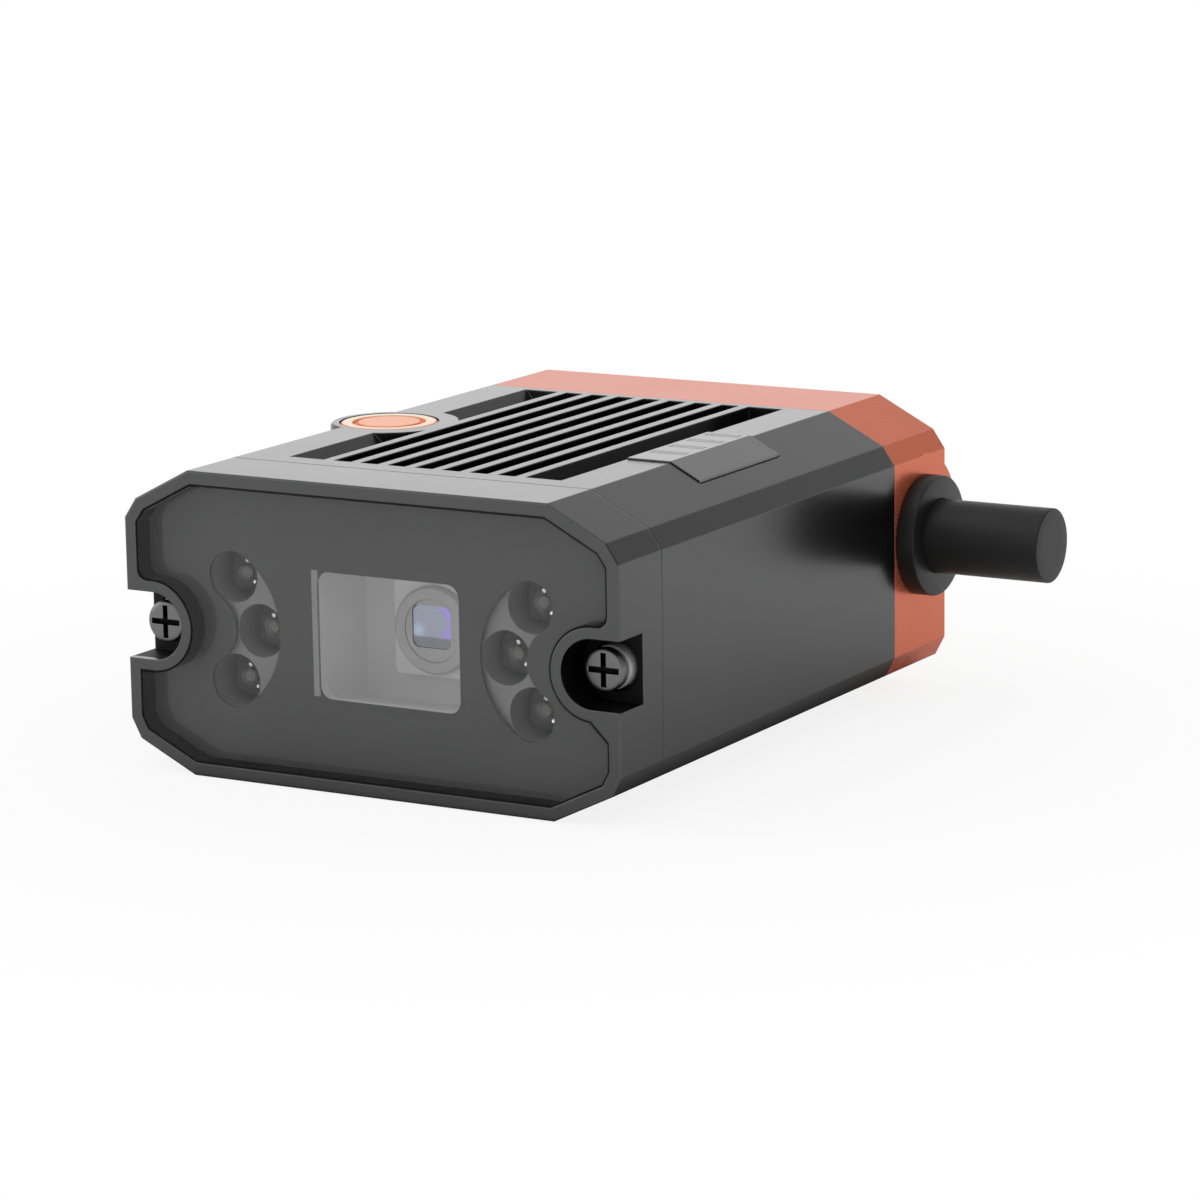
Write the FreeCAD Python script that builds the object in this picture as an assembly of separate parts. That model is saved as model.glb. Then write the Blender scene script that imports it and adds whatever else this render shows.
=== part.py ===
import FreeCAD, Part

import math
import os

from FreeCAD import Placement, Rotation, Vector

# A compact machine vision camera, lying on its base.
# Millimetres, +Z up. The origin is the middle of the flat base. The window faces -Y and the cable leaves
# towards +X. Depths along the body are measured from the front face and turned into Y by at_depth().

# Body section: a flat oblong with two facets at each corner
body_width = 50.0
body_height = 27.3
body_length = 62.6
top_chamfer_x = 5.6
top_chamfer_z = 2.9
top_bevel_x = 1.2
top_bevel_z = 1.75
bottom_chamfer_x = 5.7
bottom_chamfer_z = 2.75
bottom_bevel_x = 0.95
bottom_bevel_z = 1.8
wall = 1.8

# Lengths of the three outer pieces
bezel_depth = 7.3
bezel_edge = 0.12
seam = 0.1
rear_cover_depth = 11.1
seam_setback = 0.45

# General fits
fit = 0.1
thread_fit = 0.02
board_thickness = 1.2

# Window, its print and its gasket
rim_width = 1.15
window_gap = 0.18
window_edge = 0.06
notch_corner = 1.0
window_thickness = 2.0
mask_thickness = 0.2
window_gasket_thickness = 0.3
gasket_lip_sink = 0.1
ledge_width = 1.6
notch_radius = 4.0
key_share = 0.375
clear_width = 14.4
clear_height = 11.3
clear_corner = 1.2
clear_offset_x = 0.95
clear_offset_z = 0.3

# Side pockets and bezel screws
pocket_side = 2.7
pocket_drop = 0.55
pocket_radius = 3.05
pocket_depth = 4.0
bush_seat_radius = 2.25
bush_seat_depth = 1.0
pocket_wall = 1.35
screw_head_radius = 1.92
screw_head_height = 0.8
screw_head_edge = 0.25
screw_radius = 0.98
cross_width = 0.5
cross_length = 3.1
cross_depth = 0.5
lock_washer_radius = 1.65
lock_washer_height = 0.45
lock_washer_split = 0.3
bush_height = 1.85
bezel_screw_grip = 5.0
bezel_boss_radius = 2.9
bezel_boss_length = 8.0

# Lamps: three on an arc at each side, in round wells
lamp_arc_x = 18.0
lamp_arc_radius = 5.5
lamp_arc_angle = 58.8
crescent_half_width = 2.3
well_radius = 2.4
panel_window_gap = 0.15
panel_thickness = 3.6
panel_lip = 1.1
shroud_wall = 0.9
chamber_width = 16.0
chamber_height = 14.5
lamp_package = 3.4
lamp_package_height = 1.3
lamp_dome_radius = 1.45
lamp_dome_edge = 0.8
lamp_board_outer_x = 16.8
lamp_board_width = 6.6
lamp_board_height = 15.0
lamp_board_thickness = 1.0

# Lens, sensor and sensor board
lens_x = 1.06
lens_holder_size = 8.4
lens_holder_corner = 0.5
lens_front_depth = 9.0
barrel_flange_radius = 3.95
barrel_flange_thickness = 0.6
barrel_radius = 2.95
barrel_length = 5.2
barrel_wall = 0.55
barrel_edge = 0.2
lens_radius = 2.3
lens_thickness = 1.1
lens_crown = 0.55
lens_seat = 1.1
ring_radius = 2.85
ring_thickness = 0.5
ring_opening_width = 4.0
ring_opening_height = 3.1
ring_opening_corner = 0.5
ring_recess = 0.1
sensor_board_depth = 18.0
sensor_board_width = 21.4
sensor_board_height = 12.6
holder_base = 11.0
holder_base_corner = 0.8
holder_base_thickness = 1.5
sensor_width = 6.4
sensor_height = 5.2
sensor_thickness = 0.9
filter_size = 5.0
filter_thickness = 0.5
bracket_depth = 11.0
bracket_thickness = 1.2
bracket_width = 38.4
bracket_room = 1.2
bracket_corner = 2.0
sensor_board_corner = 1.0
sensor_screw_x = 8.5
sensor_lug_width = 4.4
sensor_lug_thickness = 3.2

# Heat sink in the top of the housing
sink_half_width = 13.9
sink_front_depth = 9.8
sink_rear_margin = 0.9
sink_groove_depth = 2.6
sink_ramp_run = 2.2
fin_count = 8
fin_thickness = 1.0
fin_pitch = 2.8
ceiling_thickness = 4.3

# Trigger button, its collar and its switch
button_x = -16.0
button_ahead = 1.8
button_radius = 4.55
button_running_fit = 0.07
button_cap_height = 1.9
button_ring_radius = 3.15
button_ring_width = 0.55
button_ring_depth = 0.25
button_edge = 0.2
button_stem_radius = 2.9
button_travel = 0.6
button_bore_depth = 3.1
stop_gap = 0.3
collar_radius = 5.4
collar_edge = 0.2
sink_boss_radius = 6.4
seal_thickness = 0.3
clip_radius = 4.1
clip_thickness = 0.5
clip_mouth = 2.4
clip_groove_depth = 0.5
switch_size = 6.2
switch_height = 1.4
plunger_radius = 1.0
plunger_length = 1.4

# Status panel on the right shoulder
status_ahead = 10.0
status_length = 14.7
status_drop_x = 2.9
status_thickness = 0.8
status_proud = 0.15
status_gap = 0.15
bar_count = 4
bar_pitch = 3.3
bar_margin = 0.5
bar_width = 1.0
bar_offset = 1.3
bar_gap = 0.05
guide_width = 1.5
status_lamp_size = 1.6
status_lamp_height = 0.8

# Rear cover, its hump and its screws
cover_edge = 0.5
cover_rear_wall = 2.2
outlet_from_rear = 5.3
outlet_drop = 12.05
hump_radius = 7.6
hump_length = 11.0
hump_run_out = 3.0
nut_room_radius = 6.3
outlet_pad = 6.0
outlet_pad_step = 0.6
cover_screw_low_x = 20.6
cover_screw_low_z = 4.7
cover_screw_high_x = 11.0
cover_screw_drop = 2.3
cover_boss_width = 4.6
cover_boss_length = 8.0
cover_head_radius = 1.9
cover_head_height = 1.3
cover_head_sink = 1.6
cover_screw_grip = 5.0
rear_gasket_thickness = 0.8

# Cable gland and cable
cable_radius = 3.47
cable_end_x = 38.25
cable_inner_x = 15.5
flange_radius = 5.65
flange_thickness = 1.8
flange_edge = 0.3
shank_radius = 4.6
shank_inner_length = 8.0
gland_seal_length = 4.0
gland_seal_wall = 0.6
gland_seal_sink = 0.8
nut_across_flats = 10.6
nut_thickness = 1.8
core_radius = 0.7
core_spacing = 2.4
connector_gap = 3.0
connector_width = 8.0
connector_length = 6.0
connector_rim = 1.15

# Boards inside the housing
main_board_side = 4.0
main_board_front_gap = 1.1
main_board_rear_gap = 0.6
main_board_drop = 3.4
main_post_x = 9.3
main_post_inset = 2.1
post_width = 3.8
processor_size = 14.0
pad_margin = 0.5
processor_height = 1.4
memory_x = 15.2
memory_width = 6.0
memory_length = 8.0
memory_height = 1.0
power_board_z = 8.0
power_board_margin = 2.0
power_board_front_gap = 1.6
power_board_overhang = 8.0
standoff_side = 3.0
standoff_inset = 3.0
standoff_across_flats = 4.0
board_screw_across_flats = 3.2
board_screw_head_height = 0.9
board_screw_grip = 2.6
capacitor_radius = 2.5
capacitor_room = 3.2
capacitor_x = -10.0
capacitor_inset = 8.0
capacitor_pitch = 6.5
inductor_size = 6.0
inductor_x = 9.2
inductor_inset = 9.0
inductor_height = 3.0
header_width = 12.0
header_length = 3.0
header_inset = 2.7
ribbon_width = 8.0
ribbon_thickness = 0.3
ribbon_drop = 3.0
ribbon_reach = 5.1

# Tapped mounting holes in the base
mount_spacing_x = 28.0
mount_end_margin = 16.3
mount_hole_radius = 1.25
mount_hole_depth = 4.0
mount_boss_width = 5.4
mount_boss_height = 5.0

# Places worked out from the sizes above
half_width = body_width / 2
front_y = -body_length / 2
middle_depth = body_length / 2
barrel_rear = lens_front_depth + barrel_flange_thickness + barrel_length
window_seat = window_thickness + mask_thickness + window_gasket_thickness
panel_back = window_seat + panel_thickness
housing_front = bezel_depth + seam
housing_rear = body_length - rear_cover_depth
sink_rear_depth = housing_rear - sink_rear_margin
ceiling_z = body_height - ceiling_thickness
sink_floor_z = body_height - sink_groove_depth
pocket_x = half_width - pocket_side
pocket_z = body_height / 2 - pocket_drop
key_cut = key_share * (pocket_z - notch_radius - bottom_chamfer_z - bottom_bevel_z)
pocket_floor = pocket_depth + bush_seat_depth
screw_face = pocket_floor - bush_height - lock_washer_height - screw_head_height
shoulder_x = half_width - top_bevel_x - top_chamfer_x
mount_x = mount_spacing_x / 2
mount_depths = (mount_end_margin, body_length - mount_end_margin)

sensor_board_rear = sensor_board_depth + board_thickness
main_board_front = sensor_board_rear + main_board_front_gap
main_board_rear = housing_rear - cover_boss_length - main_board_rear_gap
main_board_middle = (main_board_front + main_board_rear) / 2
main_board_width = 2 * (main_board_side - button_x)
main_board_top = ceiling_z - main_board_drop
main_board_z = main_board_top - board_thickness
main_post_depths = (main_board_front + main_post_inset, main_board_rear - main_post_inset)
power_board_width = 2 * (mount_x + power_board_margin)
power_board_front = sensor_board_rear + sensor_lug_thickness + power_board_front_gap
power_board_rear = housing_rear + power_board_overhang
power_board_top = power_board_z + board_thickness
power_screw_places = [
    (side * x, depth)
    for side in (-1, 1)
    for x, depth in (
        (power_board_width / 2 - standoff_side, power_board_front + standoff_inset),
        (mount_x, mount_depths[1]),
    )
]

button_depth = middle_depth - button_ahead
button_bore_floor = body_height - button_bore_depth
button_cap_base = body_height - button_cap_height
switch_top = main_board_top + switch_height
plunger_base = main_board_top + button_travel + stop_gap
plunger_top = plunger_base + plunger_length
status_front_depth = middle_depth - status_ahead
status_low_x = shoulder_x + status_drop_x
bar_middle_x = (sink_half_width + shoulder_x) / 2
bar_length = shoulder_x - sink_half_width - 2 * bar_margin

outlet_depth = body_length - outlet_from_rear
outlet_z = body_height - outlet_drop
outlet_inner_x = half_width - outlet_pad
gland_seal_x = half_width - gland_seal_length - gland_seal_sink
connector_face_x = cable_inner_x - connector_gap
connector_top = outlet_z + core_spacing / 2 + connector_rim
cover_screw_high_z = ceiling_z - cover_screw_drop
cover_screw_places = [
    (side * x, z)
    for side in (-1, 1)
    for x, z in ((cover_screw_low_x, cover_screw_low_z), (cover_screw_high_x, cover_screw_high_z))
]


def at_depth(depth):
    """Y of a place that lies this far behind the front face."""
    return front_y + depth


def block(x_range, depth_range, z_range):
    """Box between three pairs of limits, the second pair measured from the front face."""
    x0, x1 = x_range
    d0, d1 = depth_range
    z0, z1 = z_range
    return Part.makeBox(x1 - x0, d1 - d0, z1 - z0, Vector(x0, at_depth(d0), z0))


def rod_y(x, z, radius, depth, length):
    return Part.makeCylinder(radius, length, Vector(x, at_depth(depth), z), Vector(0, 1, 0))


def rod_z(x, depth, radius, z, height):
    return Part.makeCylinder(radius, height, Vector(x, at_depth(depth), z), Vector(0, 0, 1))


def rod_x(depth, z, radius, x, length):
    return Part.makeCylinder(radius, length, Vector(x, at_depth(depth), z), Vector(1, 0, 0))


def span(middle, size):
    """Pair of limits about a middle."""
    return middle - size / 2, middle + size / 2


def post(x, depth, width, z, height):
    """Square upright post."""
    return block(span(x, width), span(depth, width), (z, z + height))


def hexagon(x, depth, across_flats, z, height):
    """Upright six-sided bar."""
    radius = across_flats / 2 / math.cos(math.pi / 6)
    corners = []
    for index in range(6):
        angle = index * math.pi / 3
        corners.append(Vector(x + radius * math.cos(angle), at_depth(depth) + radius * math.sin(angle), z))
    return Part.Face(Part.makePolygon(corners + corners[:1])).extrude(Vector(0, 0, height))


def lens_rod(radius, depth, length):
    """Cylinder on the optical axis."""
    return rod_y(lens_x, pocket_z, radius, depth, length)


def button_rod(radius, z, height):
    """Cylinder on the axis of the trigger button."""
    return rod_z(button_x, button_depth, radius, z, height)


def outlet_rod(radius, x, length):
    """Cylinder on the axis of the cable outlet."""
    return rod_x(outlet_depth, outlet_z, radius, x, length)


def prism(points, depth, length):
    """Extrude a closed (x, z) outline backwards from a depth."""
    corners = [Vector(x, at_depth(depth), z) for x, z in points]
    face = Part.Face(Part.makePolygon(corners + corners[:1]))
    return face.extrude(Vector(0, length, 0))


def join(shapes):
    """Fuse overlapping shapes into one solid."""
    whole = shapes[0]
    for shape in shapes[1:]:
        whole = whole.fuse(shape)
    return whole.removeSplitter()


def body_outline(inset=0.0):
    """Corners (x, z) of the body section, moved inwards by the same distance on every side."""
    lower = body_height - top_chamfer_z
    right = [
        (half_width - bottom_bevel_x - bottom_chamfer_x, 0.0),
        (half_width - bottom_bevel_x, bottom_chamfer_z),
        (half_width, bottom_chamfer_z + bottom_bevel_z),
        (half_width, lower - top_bevel_z),
        (half_width - top_bevel_x, lower),
        (shoulder_x, body_height),
    ]
    points = right + [(-x, z) for x, z in reversed(right)]
    return inset_polygon(points, inset)


def inset_polygon(points, inset):
    """Move each side of a convex anticlockwise polygon inwards and meet the sides again."""
    sides = []
    for (x0, z0), (x1, z1) in zip(points, points[1:] + points[:1]):
        length = math.hypot(x1 - x0, z1 - z0)
        normal = (-(z1 - z0) / length, (x1 - x0) / length)
        offset = normal[0] * x0 + normal[1] * z0 + inset
        sides.append((normal, offset))
    corners = []
    for (n0, c0), (n1, c1) in zip([sides[-1]] + sides[:-1], sides):
        cross = n0[0] * n1[1] - n0[1] * n1[0]
        corners.append(((c0 * n1[1] - c1 * n0[1]) / cross, (n0[0] * c1 - n1[0] * c0) / cross))
    return corners


def side_slot(side, radius, depth, length):
    """Round-ended slot at a screw pocket, open towards the side of the body."""
    round_end = rod_y(side * pocket_x, pocket_z, radius, depth, length)
    reach = sorted((side * pocket_x, side * (half_width + wall)))
    opening = block(reach, (depth, depth + length), (pocket_z - radius, pocket_z + radius))
    return round_end.fuse(opening)


def rounded_block(x_range, depth_range, z_range, corner):
    """Box whose four edges along Y are rounded."""
    box = block(x_range, depth_range, z_range)
    edges = [edge for edge in box.Edges if abs(edge.tangentAt(edge.FirstParameter).y) > 0.9]
    return box.makeFillet(corner, edges)


def lamp_places(side):
    """Centres (x, z) of the three lamps of one side, on an arc round the screw pocket."""
    places = []
    for step in (1, 0, -1):
        angle = math.radians(step * lamp_arc_angle)
        x = side * (lamp_arc_x - lamp_arc_radius * math.cos(angle))
        places.append((x, pocket_z + lamp_arc_radius * math.sin(angle)))
    return places


def arc_slot(side, depth, length):
    """Crescent opening with round ends that shows the three lamps of one side."""
    limit = math.radians(lamp_arc_angle)
    inner = lamp_arc_radius - crescent_half_width
    outer = lamp_arc_radius + crescent_half_width

    def place(radius, angle):
        x = side * (lamp_arc_x - radius * math.cos(angle))
        return Vector(x, at_depth(depth), pocket_z + radius * math.sin(angle))

    def cap(sign):
        x, z = lamp_places(side)[0 if sign > 0 else 2]
        angle = sign * (limit + math.pi / 2)
        tip_x = x - side * crescent_half_width * math.cos(angle)
        return Vector(tip_x, at_depth(depth), z + crescent_half_width * math.sin(angle))

    edges = [
        Part.Arc(place(outer, limit), place(outer, 0), place(outer, -limit)).toShape(),
        Part.Arc(place(outer, -limit), cap(-1), place(inner, -limit)).toShape(),
        Part.Arc(place(inner, -limit), place(inner, 0), place(inner, limit)).toShape(),
        Part.Arc(place(inner, limit), cap(1), place(outer, limit)).toShape(),
    ]
    return Part.Face(Part.Wire(edges)).extrude(Vector(0, length, 0))


def clear_opening(grow, depth, length):
    """Rounded rectangle in front of the lens, larger by the given margin on each side."""
    half_x = clear_width / 2 + grow
    half_z = clear_height / 2 + grow
    middle_z = pocket_z + clear_offset_z
    x_range = (clear_offset_x - half_x, clear_offset_x + half_x)
    z_range = (middle_z - half_z, middle_z + half_z)
    return rounded_block(x_range, (depth, depth + length), z_range, clear_corner)


def plate_blank(inset, notch, depth, length):
    """Body outline moved inwards, with a notch at each screw pocket."""
    plate = prism(body_outline(inset), depth, length)
    for side in (-1, 1):
        plate = plate.cut(side_slot(side, notch, depth - 1, length + 2))
    return plate


def window_blank(inset, notch, depth, length):
    """Notched plate whose upper notch corners are rounded."""
    plate = plate_blank(inset, notch, depth, length)
    outer_x = half_width - inset - fit / 2
    top_z = pocket_z + notch
    corners = []
    for edge in plate.Edges:
        middle = edge.CenterOfMass
        if abs(middle.x) > outer_x and abs(middle.z - top_z) < fit / 2:
            corners.append(edge)
    return plate.makeFillet(notch_corner, corners)


def key_corner(depth, length, margin):
    """Wedge under the right notch that keys the window."""
    x = half_width - rim_width - margin
    z = pocket_z - notch_radius - margin
    corner = [(x + 1, z + 1), (x - key_cut - 1, z + 1), (x + 1, z - key_cut - 1)]
    return prism(corner, depth, length)


def front_edges(solid, depth):
    """Edges that lie in the plane at this depth."""
    y = at_depth(depth)
    edges = []
    for edge in solid.Edges:
        box = edge.BoundBox
        if max(abs(box.YMin - y), abs(box.YMax - y)) < fit:
            edges.append(edge)
    return edges


def make_front_bezel():
    bezel = prism(body_outline(), 0, bezel_depth)
    bezel = bezel.makeChamfer(bezel_edge, front_edges(bezel, 0))
    seat = window_blank(rim_width, notch_radius, -1, 1 + window_seat)
    seat = seat.cut(key_corner(-2, window_seat + 4, 0.0))
    bezel = bezel.cut(seat)
    inner = plate_blank(rim_width + ledge_width, pocket_radius + pocket_wall, -1, bezel_depth + 2)
    bezel = bezel.cut(inner)
    for side in (-1, 1):
        x = side * pocket_x
        bezel = bezel.cut(side_slot(side, pocket_radius, -1, 1 + pocket_depth))
        bezel = bezel.cut(rod_y(x, pocket_z, bush_seat_radius, 0, pocket_floor))
        bezel = bezel.cut(rod_y(x, pocket_z, screw_radius + fit, 0, bezel_depth + 1))
    return bezel.removeSplitter()


def make_front_window():
    inset = rim_width + window_gap
    window = window_blank(inset, notch_radius + window_gap, 0, window_thickness)
    window = window.cut(key_corner(-1, window_thickness + 2, window_gap)).removeSplitter()
    return window.makeChamfer(window_edge, front_edges(window, 0))


def make_window_mask():
    inset = rim_width + window_gap
    mask = window_blank(inset, notch_radius + window_gap, window_thickness, mask_thickness)
    mask = mask.cut(key_corner(0, window_seat, window_gap))
    mask = mask.cut(clear_opening(0.0, 0, window_seat))
    for side in (-1, 1):
        mask = mask.cut(arc_slot(side, 0, window_seat))
    return mask.removeSplitter()


def make_window_gasket():
    """Flat ring behind the window, with a lip that fills the gap round its edge."""
    depth = window_thickness + mask_thickness
    inset = rim_width + window_gap
    ring = window_blank(inset, notch_radius + window_gap, depth, window_gasket_thickness)
    ring = ring.cut(key_corner(0, window_seat, window_gap))
    hole_inset = rim_width + ledge_width
    hole = plate_blank(hole_inset, pocket_radius + pocket_wall + fit, depth - 1, window_seat)
    ring = ring.cut(hole)
    lip = window_blank(rim_width, notch_radius, gasket_lip_sink, window_seat - gasket_lip_sink)
    lip = lip.cut(key_corner(0, window_seat, 0.0))
    plate = window_blank(rim_width + window_gap, notch_radius + window_gap, 0, window_seat + 1)
    lip = lip.cut(plate.cut(key_corner(-1, window_seat + 3, window_gap)))
    return ring.fuse(lip).removeSplitter()


def make_light_panel():
    """Moulding with a round well for each lamp and a square shroud back to the lens bracket."""
    inset = rim_width + ledge_width + fit
    panel = plate_blank(inset, pocket_radius + pocket_wall + fit, window_seat, panel_thickness)
    panel = panel.cut(clear_opening(panel_window_gap, 0, bezel_depth))
    middle_z = pocket_z + clear_offset_z
    x_range = span(clear_offset_x, chamber_width + 2 * shroud_wall)
    z_range = span(middle_z, chamber_height + 2 * shroud_wall)
    panel = panel.fuse(block(x_range, (window_seat + panel_lip, bracket_depth), z_range))
    x_range = span(clear_offset_x, chamber_width)
    z_range = span(middle_z, chamber_height)
    panel = panel.cut(block(x_range, (window_seat + panel_lip, bracket_depth + 1), z_range))
    for side in (-1, 1):
        for x, z in lamp_places(side):
            panel = panel.cut(rod_y(x, z, well_radius, 0, bezel_depth))
    return panel.removeSplitter()


def make_lamp_board(side):
    x_range = span(side * (lamp_board_outer_x - lamp_board_width / 2), lamp_board_width)
    depth_range = (panel_back, panel_back + lamp_board_thickness)
    board = block(x_range, depth_range, span(pocket_z, lamp_board_height))
    notch = rod_y(side * pocket_x, pocket_z, pocket_radius + pocket_wall + 2 * fit, 0, bezel_depth + wall)
    return board.cut(notch)


def make_lamps(side):
    base = panel_back - lamp_package_height
    packages = []
    for x, z in lamp_places(side):
        package = block(span(x, lamp_package), (base, panel_back), span(z, lamp_package))
        packages.append(package.common(rod_y(x, z, well_radius - fit, 0, bezel_depth)))
    return Part.makeCompound(packages)


def make_lamp_lenses(side):
    """Short round lenses with a wide chamfer, on the lamp packages."""
    base = panel_back - lamp_package_height
    domes = []
    for x, z in lamp_places(side):
        dome = rod_y(x, z, lamp_dome_radius, base - lamp_dome_radius, lamp_dome_radius)
        rim = [edge for edge in dome.Edges if edge.BoundBox.YMax < at_depth(base) - fit]
        domes.append(dome.makeChamfer(lamp_dome_edge, rim))
    return Part.makeCompound(domes)


def make_bezel_gasket():
    ring = prism(body_outline(seam_setback), bezel_depth, seam)
    hole = plate_blank(wall + fit, bezel_boss_radius, 0, bezel_depth * 2)
    ring = ring.cut(hole)
    for side in (-1, 1):
        ring = ring.cut(rod_y(side * pocket_x, pocket_z, screw_radius + fit, 0, bezel_depth * 2))
    return ring.removeSplitter()


def heat_sink_cut():
    """What is milled out of the top: a recess with ramped sides, less its fins and the button boss."""
    length = sink_rear_depth - sink_front_depth
    right = [
        (sink_half_width - sink_ramp_run, sink_floor_z),
        (sink_half_width, body_height),
        (sink_half_width, body_height + 1),
    ]
    profile = right + [(-x, z) for x, z in reversed(right)]
    recess = prism(profile, sink_front_depth, length)
    first = -fin_pitch * (fin_count - 1) / 2
    for index in range(fin_count):
        x = first + index * fin_pitch
        x_range = (x - fin_thickness / 2, x + fin_thickness / 2)
        fin = block(x_range, (sink_front_depth - 1, sink_rear_depth + 1), (sink_floor_z - 1, body_height + 2))
        recess = recess.cut(fin)
    boss = button_rod(sink_boss_radius, sink_floor_z - 1, sink_groove_depth + 3)
    return recess.cut(boss)


def status_section(low_x, proud):
    """Section (x, z) of the status panel: flat on top, then down the right shoulder to low_x."""
    low_z = body_height - (low_x - shoulder_x) * top_chamfer_z / top_chamfer_x
    surface = [(sink_half_width, body_height), (shoulder_x, body_height), (low_x, low_z)]
    upper = [(x, z + proud) for x, z in surface]
    lower = [(x, z - status_thickness) for x, z in reversed(surface)]
    return upper + lower


def bar_depths():
    middle = status_front_depth + status_length / 2 + bar_offset
    return [middle + (index - (bar_count - 1) / 2) * bar_pitch for index in range(bar_count)]


def status_bars(grow, z_range):
    """The light bars, larger by a gap on every side."""
    x_range = span(bar_middle_x, bar_length + 2 * grow)
    width = bar_width + 2 * grow
    return [block(x_range, span(depth, width), z_range) for depth in bar_depths()]


def make_housing():
    length = housing_rear - housing_front
    shell = prism(body_outline(), housing_front, length)
    collar = button_rod(collar_radius, ceiling_z, ceiling_thickness)
    rim = [edge for edge in collar.Edges if edge.BoundBox.ZMin > body_height - collar_edge / 2]
    collar = collar.makeChamfer(collar_edge, rim)
    shell = shell.fuse(collar)
    cavity = prism(body_outline(wall), housing_front - 1, length + 2)
    below_ceiling = block((-half_width, half_width), (0, body_length), (0, ceiling_z))
    shell = shell.cut(cavity.common(below_ceiling))
    shell = shell.cut(heat_sink_cut())
    shell = shell.fuse(housing_bosses())
    for tool in housing_holes():
        shell = shell.cut(tool)
    return shell.removeSplitter()


def housing_bosses():
    """Screw bosses, board posts and board lugs inside the housing, trimmed to the outer form."""
    outer = prism(body_outline(wall / 2), housing_front, housing_rear - housing_front)
    bosses = []
    for side in (-1, 1):
        bosses.append(rod_y(side * pocket_x, pocket_z, bezel_boss_radius, housing_front, bezel_boss_length))
        for depth in main_post_depths:
            post_height = main_board_drop + wall / 2
            bosses.append(post(side * main_post_x, depth, post_width, main_board_top, post_height))
        front, rear = mount_depths
        bosses.append(post(side * mount_x, front, mount_boss_width, wall / 2, mount_boss_height))
        bosses.append(post(side * mount_x, rear, mount_boss_width, wall / 2, power_board_z - wall / 2))
        bosses.append(sensor_lug(side))
    start = housing_rear - cover_boss_length
    for x, z in cover_screw_places:
        depth_range = (start, housing_rear)
        bosses.append(block(span(x, cover_boss_width), depth_range, span(z, cover_boss_width)))
    return join([boss.common(outer) for boss in bosses])


def sensor_lug(side):
    """Upright lug behind the sensor board."""
    start = sensor_board_rear
    z_range = (wall / 2, pocket_z + sensor_lug_width / 2)
    x_range = span(side * sensor_screw_x, sensor_lug_width)
    return block(x_range, (start, start + sensor_lug_thickness), z_range)


def housing_holes():
    """Tapped holes, the stepped bore of the button and the seats of the status panel."""
    holes = []
    radius = screw_radius + thread_fit
    for side in (-1, 1):
        start = housing_front - 1
        holes.append(rod_y(side * pocket_x, pocket_z, radius, start, bezel_screw_grip + 2))
        for depth in main_post_depths:
            holes.append(rod_z(side * main_post_x, depth, radius, main_board_top - 1, board_screw_grip + 1))
        for depth in mount_depths:
            holes.append(rod_z(side * mount_x, depth, mount_hole_radius, -1, mount_hole_depth + 1))
        grip = board_screw_grip
        holes.append(rod_z(side * mount_x, mount_depths[1], radius, power_board_z - grip, grip + 1))
        length = board_thickness + board_screw_grip
        x = side * sensor_screw_x
        holes.append(rod_y(x, pocket_z, radius, sensor_board_depth, length))
    for x, z in cover_screw_places:
        start = housing_rear - cover_screw_grip
        holes.append(rod_y(x, z, radius, start, cover_screw_grip + 1))
    bore = button_radius + button_running_fit
    holes.append(button_rod(bore, button_bore_floor, button_bore_depth + 1))
    bore = button_stem_radius + button_running_fit
    holes.append(button_rod(bore, ceiling_z - 1, ceiling_thickness))
    seat = status_section(status_low_x + status_gap, 1)
    holes.append(prism(seat, status_front_depth - status_gap, status_length + 2 * status_gap))
    for depth in bar_depths():
        holes.append(post(bar_middle_x, depth, guide_width + 2 * fit, ceiling_z - 1, ceiling_thickness + 1))
    return holes


def make_trigger_button():
    """Flat cap with a ringed groove, on a stem that runs in the housing."""
    cap = button_rod(button_radius, button_cap_base, button_cap_height)
    rim = [edge for edge in cap.Edges if edge.BoundBox.ZMin > body_height - button_edge / 2]
    cap = cap.makeChamfer(button_edge, rim)
    groove_z = body_height - button_ring_depth
    groove = button_rod(button_ring_radius + button_ring_width / 2, groove_z, 1)
    core = button_rod(button_ring_radius - button_ring_width / 2, groove_z - 1, 3)
    cap = cap.cut(groove.cut(core))
    stem = button_rod(button_stem_radius, plunger_top, button_cap_base - plunger_top)
    clip_z = ceiling_z - stop_gap - clip_thickness
    clip_groove = button_rod(button_stem_radius + 1, clip_z, clip_thickness)
    clip_groove = clip_groove.cut(button_rod(button_stem_radius - clip_groove_depth, clip_z - 1, 3))
    return cap.fuse(stem).cut(clip_groove).removeSplitter()


def make_button_clip():
    """Open retaining ring that keeps the button in the housing."""
    clip_z = ceiling_z - stop_gap - clip_thickness
    ring = button_rod(clip_radius, clip_z, clip_thickness)
    ring = ring.cut(button_rod(button_stem_radius - clip_groove_depth, clip_z - 1, 3))
    mouth = (button_x - clip_radius - 1, button_x)
    gap = block(mouth, span(button_depth, clip_mouth), (clip_z - 1, clip_z + 2))
    return ring.cut(gap)


def make_button_seal():
    ring = button_rod(button_radius, button_bore_floor, seal_thickness)
    return ring.cut(button_rod(button_stem_radius + button_running_fit, 0, body_height))


def make_switch_body():
    z_range = (main_board_top, switch_top)
    body = block(span(button_x, switch_size), span(button_depth, switch_size), z_range)
    bore = button_rod(plunger_radius + button_running_fit, main_board_top, switch_height * 2)
    return body.cut(bore)


def make_switch_plunger():
    return button_rod(plunger_radius, plunger_base, plunger_length)


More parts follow.
